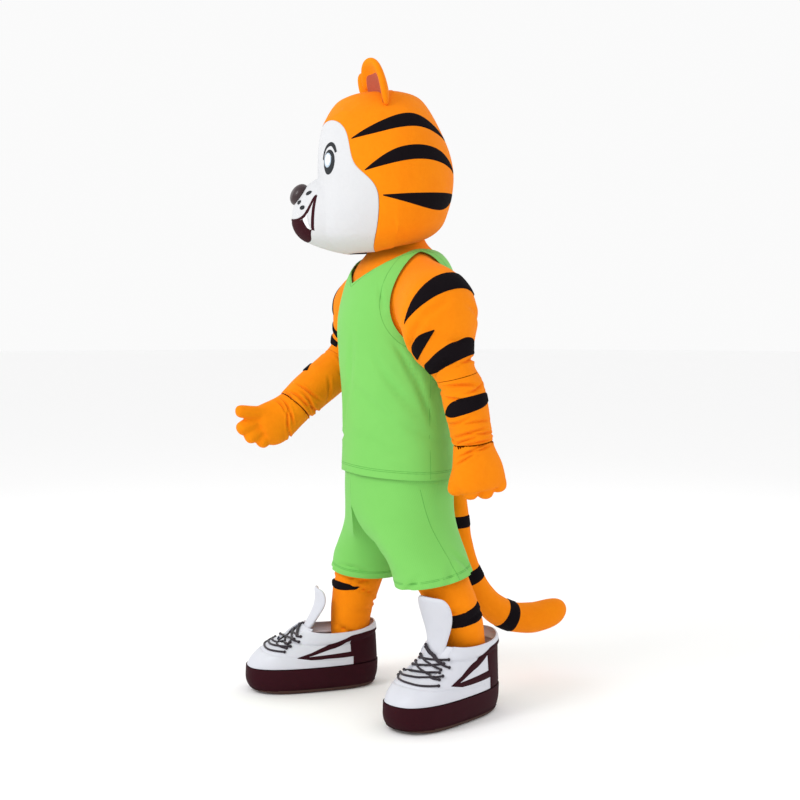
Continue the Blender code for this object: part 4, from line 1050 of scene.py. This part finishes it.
laceSize = {"radius": 0.0033, "knob": 0.0050, "lift": 0.0042}


class Shoe:
    # its own directions: along from heel to toe, across to the mascot's left, height over the floor

    def __init__(self, side):
        mount = next(each for each in frame["record"]["mounts"] if each["name"] == "sole_" + side)
        turn = math.radians(toeOut[side])
        self.side = side
        self.ahead = Vector((math.sin(turn), -math.cos(turn), 0))
        self.left = Vector((math.cos(turn), math.sin(turn), 0))
        self.heel = Vector(mount["pos_m"]) - self.ahead * 0.22
        self.ground = None

    def spot(self, along, across, height):
        return self.heel + self.ahead * along + self.left * across + Vector((0, 0, height))

    def out(self, angle):
        turn = math.radians(angle)
        ahead = math.copysign(abs(math.cos(turn)) ** 0.8, math.cos(turn))
        aside = math.copysign(abs(math.sin(turn)) ** 0.8, math.sin(turn))
        return self.ahead * ahead * 0.19 + self.left * aside * 0.098

    def place(self, angle, height):
        out = self.out(angle).normalized()
        start = self.spot(0.175, 0, height) + out * 0.6
        spot = self.ground.ray_cast(start, -out)[0]
        return spot if spot else self.spot(0.175, 0, height) + self.out(angle)

    def collarHeight(self, angle):
        heel, ankle, throat = collar[self.side]
        away = abs(angle % 360 - 180) / 90
        t = min(abs(1 - away), 1)
        return ankle + ((heel if away < 1 else throat) - ankle) * t * t * (3 - 2 * t)

    def angles(self, points):
        # the same angle for points of the shoe, as out() takes it
        offset = points - np.array(self.spot(0.175, 0, 0))
        ahead, aside = offset @ np.array(self.ahead) / 0.19, offset @ np.array(self.left) / 0.098
        ahead = np.sign(ahead) * np.abs(ahead) ** 1.25
        aside = np.sign(aside) * np.abs(aside) ** 1.25
        return np.degrees(np.arctan2(aside, ahead))


def groove(piece, line, width, depth):
    # a sewn line: the surface sinks along it
    points = pointsOf(piece)
    normals = np.array([tuple(vertex.normal) for vertex in piece.data.vertices])
    reach = np.full(len(points), 1.0)
    for a, b in zip(line, line[1:]):
        a, b = np.array(a), np.array(b)
        share = np.clip((points - a) @ (b - a) / max((b - a) @ (b - a), 1e-12), 0, 1)
        reach = np.minimum(reach, np.linalg.norm(points - a - share[:, None] * (b - a), axis=1))
    putPoints(piece, points - normals * (depth * np.exp(-(reach / width) ** 2))[:, None])


def makeShoes():
    print("shoes")
    for side in sides:
        shoe = Shoe(side)
        sole = smoothWall("sole_" + side, "foxing_" + side, 3)
        shapeSole(shoe, sole)
        upper = smoothWall("upper_" + side, "upper_" + side + "_vinyl", 4)
        tongue = fromNode("tongue_" + side, "tongue_" + side + "_vinyl")
        subdivided(tongue, 3)
        tongue = joined(tongue.name, [tongue, makeInstep(shoe)])
        padCollar(shoe, upper)
        fillToe(shoe, upper)
        shoe.ground = treeOf(upper)
        groove(upper, [shoe.place(angle, height) for angle, height in refined(toeSeam)], 0.0028, 0.0022)
        shoe.ground = treeOf(upper, sole)
        makeOverlay(shoe)
        makeOutsole(shoe, sole)
        shoe.ground = treeOf(upper, tongue)
        makeLaces(shoe)
        ready(sole, "dark_vinyl", "sole_" + side)
        ready(thinned(upper, 0.3), "white_vinyl", "upper_" + side)
        ready(tongue, "white_vinyl", "tongue_" + side)


soleShape = {"drawIn": 0.010, "drawHeight": 0.05, "toeSpring": 0.012, "heelSpring": 0.006}


def shapeSole(shoe, sole):
    # the foxing draws in towards the floor, and the toe and the heel curve up
    points = pointsOf(sole)
    height = points[:, 2] - floorHeight
    offset = points - np.array(shoe.spot(0.21, 0, 0))
    along = offset @ np.array(shoe.ahead)
    low = np.clip(1 - height / soleShape["drawHeight"], 0, 1) ** 2
    away = offset.copy()
    away[:, 2] = 0
    away /= np.maximum(np.linalg.norm(away, axis=1), 0.03)[:, None]
    points -= away * (soleShape["drawIn"] * low)[:, None]
    toeSpring = np.clip((along - 0.10) / 0.12, 0, 1) ** 2 * soleShape["toeSpring"]
    heelSpring = np.clip((-along - 0.15) / 0.06, 0, 1) ** 2 * soleShape["heelSpring"]
    points[:, 2] += (toeSpring + heelSpring) * np.clip(1 - height / 0.06, 0, 1)
    putPoints(sole, points)


def padCollar(shoe, upper):
    points = pointsOf(upper)
    angle = shoe.angles(points)
    heights = np.array([shoe.collarHeight(each) for each in angle])
    down = (heights - (points[:, 2] - floorHeight)) / collarPad["band"]
    rise = np.where((down > -0.2) & (down < 1), np.sin(np.pi * np.clip(down, 0, 1)), 0) * collarPad["swell"]
    rise -= collarPad["groove"] * np.exp(-((down - 1.05) / 0.10) ** 2)
    padded = np.abs(angle) > 40
    middle = np.array(shoe.spot(0.13, 0, 0))
    away = points - middle
    away[:, 2] = 0
    away /= np.linalg.norm(away, axis=1)[:, None]
    putPoints(upper, points + away * (rise * padded)[:, None])


def fillToe(shoe, upper):
    # foam rounds the toe box out
    points = pointsOf(upper)
    height = points[:, 2] - floorHeight
    angle = np.abs(shoe.angles(points))
    share = np.sin(np.pi * np.clip((height - 0.08) / 0.10, 0, 1)) * np.clip((95 - angle) / 60, 0, 1)
    normals = np.array([tuple(vertex.normal) for vertex in upper.data.vertices])
    inner = np.einsum("ij,ij->i", normals, points - np.array(shoe.spot(0.2, 0, 0.05))) < 0
    normals[inner] *= -1
    putPoints(upper, points + normals * (toeFill * share)[:, None])


def makeInstep(shoe):
    # the tongue's lower part, which shows between the facings
    share = (collar[shoe.side][2] - 0.14) / (collar["left"][2] - 0.14)
    points, faces = [], []
    rows = refined([(along, 0.132 + (height - 0.132) * share) for along, height in instep], 4)
    for along, height in rows:
        for k in range(25):
            turn = math.radians((-48 + 4 * k) * (1 - 0.30 * max(height - 0.17, 0) / 0.06 * share))
            ahead, aside = math.cos(turn) ** 0.8, math.copysign(abs(math.sin(turn)) ** 0.8, math.sin(turn))
            points.append(shoe.spot(along * ahead + 0.17 * (1 - ahead), 0.088 * aside, height))
    for i in range(len(rows) - 1):
        for k in range(24):
            a = i * 25 + k
            faces.append((a, a + 1, a + 26, a + 25))
    mesh = bpy.data.meshes.new("instep")
    mesh.from_pydata(points, [], faces)
    piece = bpy.data.objects.new("instep", mesh)
    bpy.context.scene.collection.objects.link(piece)
    facing = sum(face.normal.dot(shoe.ahead) for face in mesh.polygons)
    if facing < 0:
        mesh.flip_normals()
    return applied(piece, "SOLIDIFY", thickness=0.005, offset=-1)


def makeOverlay(shoe):
    # columns of five heights; the bar under the arms and the window stay open
    share = overlayShare[shoe.side]
    angles = sorted(overlay)
    points, faces = [], []
    for way in (1, -1):
        columns = []
        for first, last in zip(angles, angles[1:]):
            steps = 4 if last - first < 15 else 8
            for step in range(steps):
                t = step / steps
                heights = [a + (b - a) * t for a, b in zip(overlay[first], overlay[last])]
                columns.append((first + (last - first) * t, heights))
        columns.append((angles[-1], overlay[angles[-1]]))
        start = len(points)
        cuts = []
        for angle, heights in columns:
            row = []
            for low, high in zip(heights, heights[1:]):
                row += [low + (high - low) * k / 4 for k in range(4)]
            row.append(heights[-1])
            cuts.append((angle, row))
            out = shoe.out(way * angle).normalized() * 0.002   # clear of the skin, so that its side is known
            points += [shoe.place(way * angle, 0.083 + (height - 0.083) * share) + out for height in row]
        for i in range(len(cuts) - 1):
            angle = (cuts[i][0] + cuts[i + 1][0]) / 2
            for k in range(16):
                band = k // 4
                if band == 0 and angle < 110 or band == 2 and 74 < angle < 107:
                    continue
                a = start + i * 17 + k
                faces.append((a, a + 1, a + 18, a + 17))
    mesh = bpy.data.meshes.new("overlay")
    mesh.from_pydata(points, [], faces)
    piece = bpy.data.objects.new("overlay_" + shoe.side + "_vinyl", mesh)
    bpy.context.scene.collection.objects.link(piece)
    only(piece)
    bpy.ops.object.mode_set(mode="EDIT")
    bpy.ops.mesh.select_all(action="SELECT")
    bpy.ops.mesh.delete_loose()
    bpy.ops.mesh.select_all(action="SELECT")
    bpy.ops.mesh.normals_make_consistent(inside=False)
    bpy.ops.object.mode_set(mode="OBJECT")
    outwards(piece, shoe.ground)
    layOn(piece, shoe.ground, 0.0022, 0.003)
    ready(piece, "dark_vinyl", "overlay_" + shoe.side)


def makeOutsole(shoe, sole):
    # the rubber rim is the lowest strip of the foxing, a little proud
    piece = sole.copy()
    piece.data = sole.data.copy()
    piece.name = "outsole_" + shoe.side
    bpy.context.scene.collection.objects.link(piece)
    only(piece)
    for face in piece.data.polygons:
        face.select = face.center.z > floorHeight + 0.0125
    bpy.ops.object.mode_set(mode="EDIT")
    bpy.ops.mesh.select_mode(type="FACE")
    bpy.ops.mesh.delete(type="FACE")
    bpy.ops.object.mode_set(mode="OBJECT")
    points = pointsOf(piece)
    away = points - np.array(shoe.spot(0.21, 0, 0))
    away[:, 2] = 0
    away /= np.maximum(np.linalg.norm(away, axis=1), 1e-6)[:, None]
    side = np.clip((points[:, 2] - floorHeight) / 0.003, 0, 1)
    putPoints(piece, points + away * (0.0022 * side)[:, None])
    ready(piece, "dark_vinyl", finishName="outsole")


def makeLaces(shoe):
    pieces = []
    share = (collar[shoe.side][2] - 0.14) / (collar["left"][2] - 0.14)
    for row, (angle0, height0, angle1, height1) in enumerate(laceRuns):
        height0, height1 = (0.140 + (height - 0.140) * share for height in (height0, height1))
        ends = [shoe.place(angle0, height0), shoe.place(angle1, height1)]
        path = []
        for k in range(25):
            t = k / 24
            angle, height = angle0 + (angle1 - angle0) * t, height0 + (height1 - height0) * t
            skin = shoe.place(angle, height)
            out = shoe.out(angle).normalized()
            straight = ends[0].lerp(ends[1], t)
            spot = skin if (skin - straight).dot(out) > 0 else straight
            path.append(spot + out * (laceSize["lift"] + 0.0012 * (row % 3)))
        pieces.append(cordMesh("lace", path, laceSize["radius"]))
        for end in (path[0], path[-1]):
            bpy.ops.mesh.primitive_uv_sphere_add(segments=12, ring_count=8, radius=laceSize["knob"],
                                                 location=end)
            pieces.append(settle(bpy.context.object))
    ready(joined("laces_" + shoe.side + "_cord", pieces), "lace_cord", "laces_" + shoe.side)


def cordMesh(name, path, radius):
    # a round cord along a path, with its own UV along and round it
    curve = bpy.data.curves.new(name, "CURVE")
    curve.dimensions = "3D"
    curve.bevel_depth, curve.bevel_resolution, curve.use_fill_caps = radius, 3, True
    spline = curve.splines.new("POLY")
    spline.points.add(len(path) - 1)
    for point, spot in zip(spline.points, path):
        point.co = (*spot, 1)
    piece = bpy.data.objects.new(name, curve)
    bpy.context.scene.collection.objects.link(piece)
    only(piece)
    bpy.ops.object.convert(target="MESH")
    return bpy.context.object


finishes = makeFinishes()
makeStage()
makeTorso()
makeArms()
makeLegs()
makeTail()
makeHead()
makeShoes()
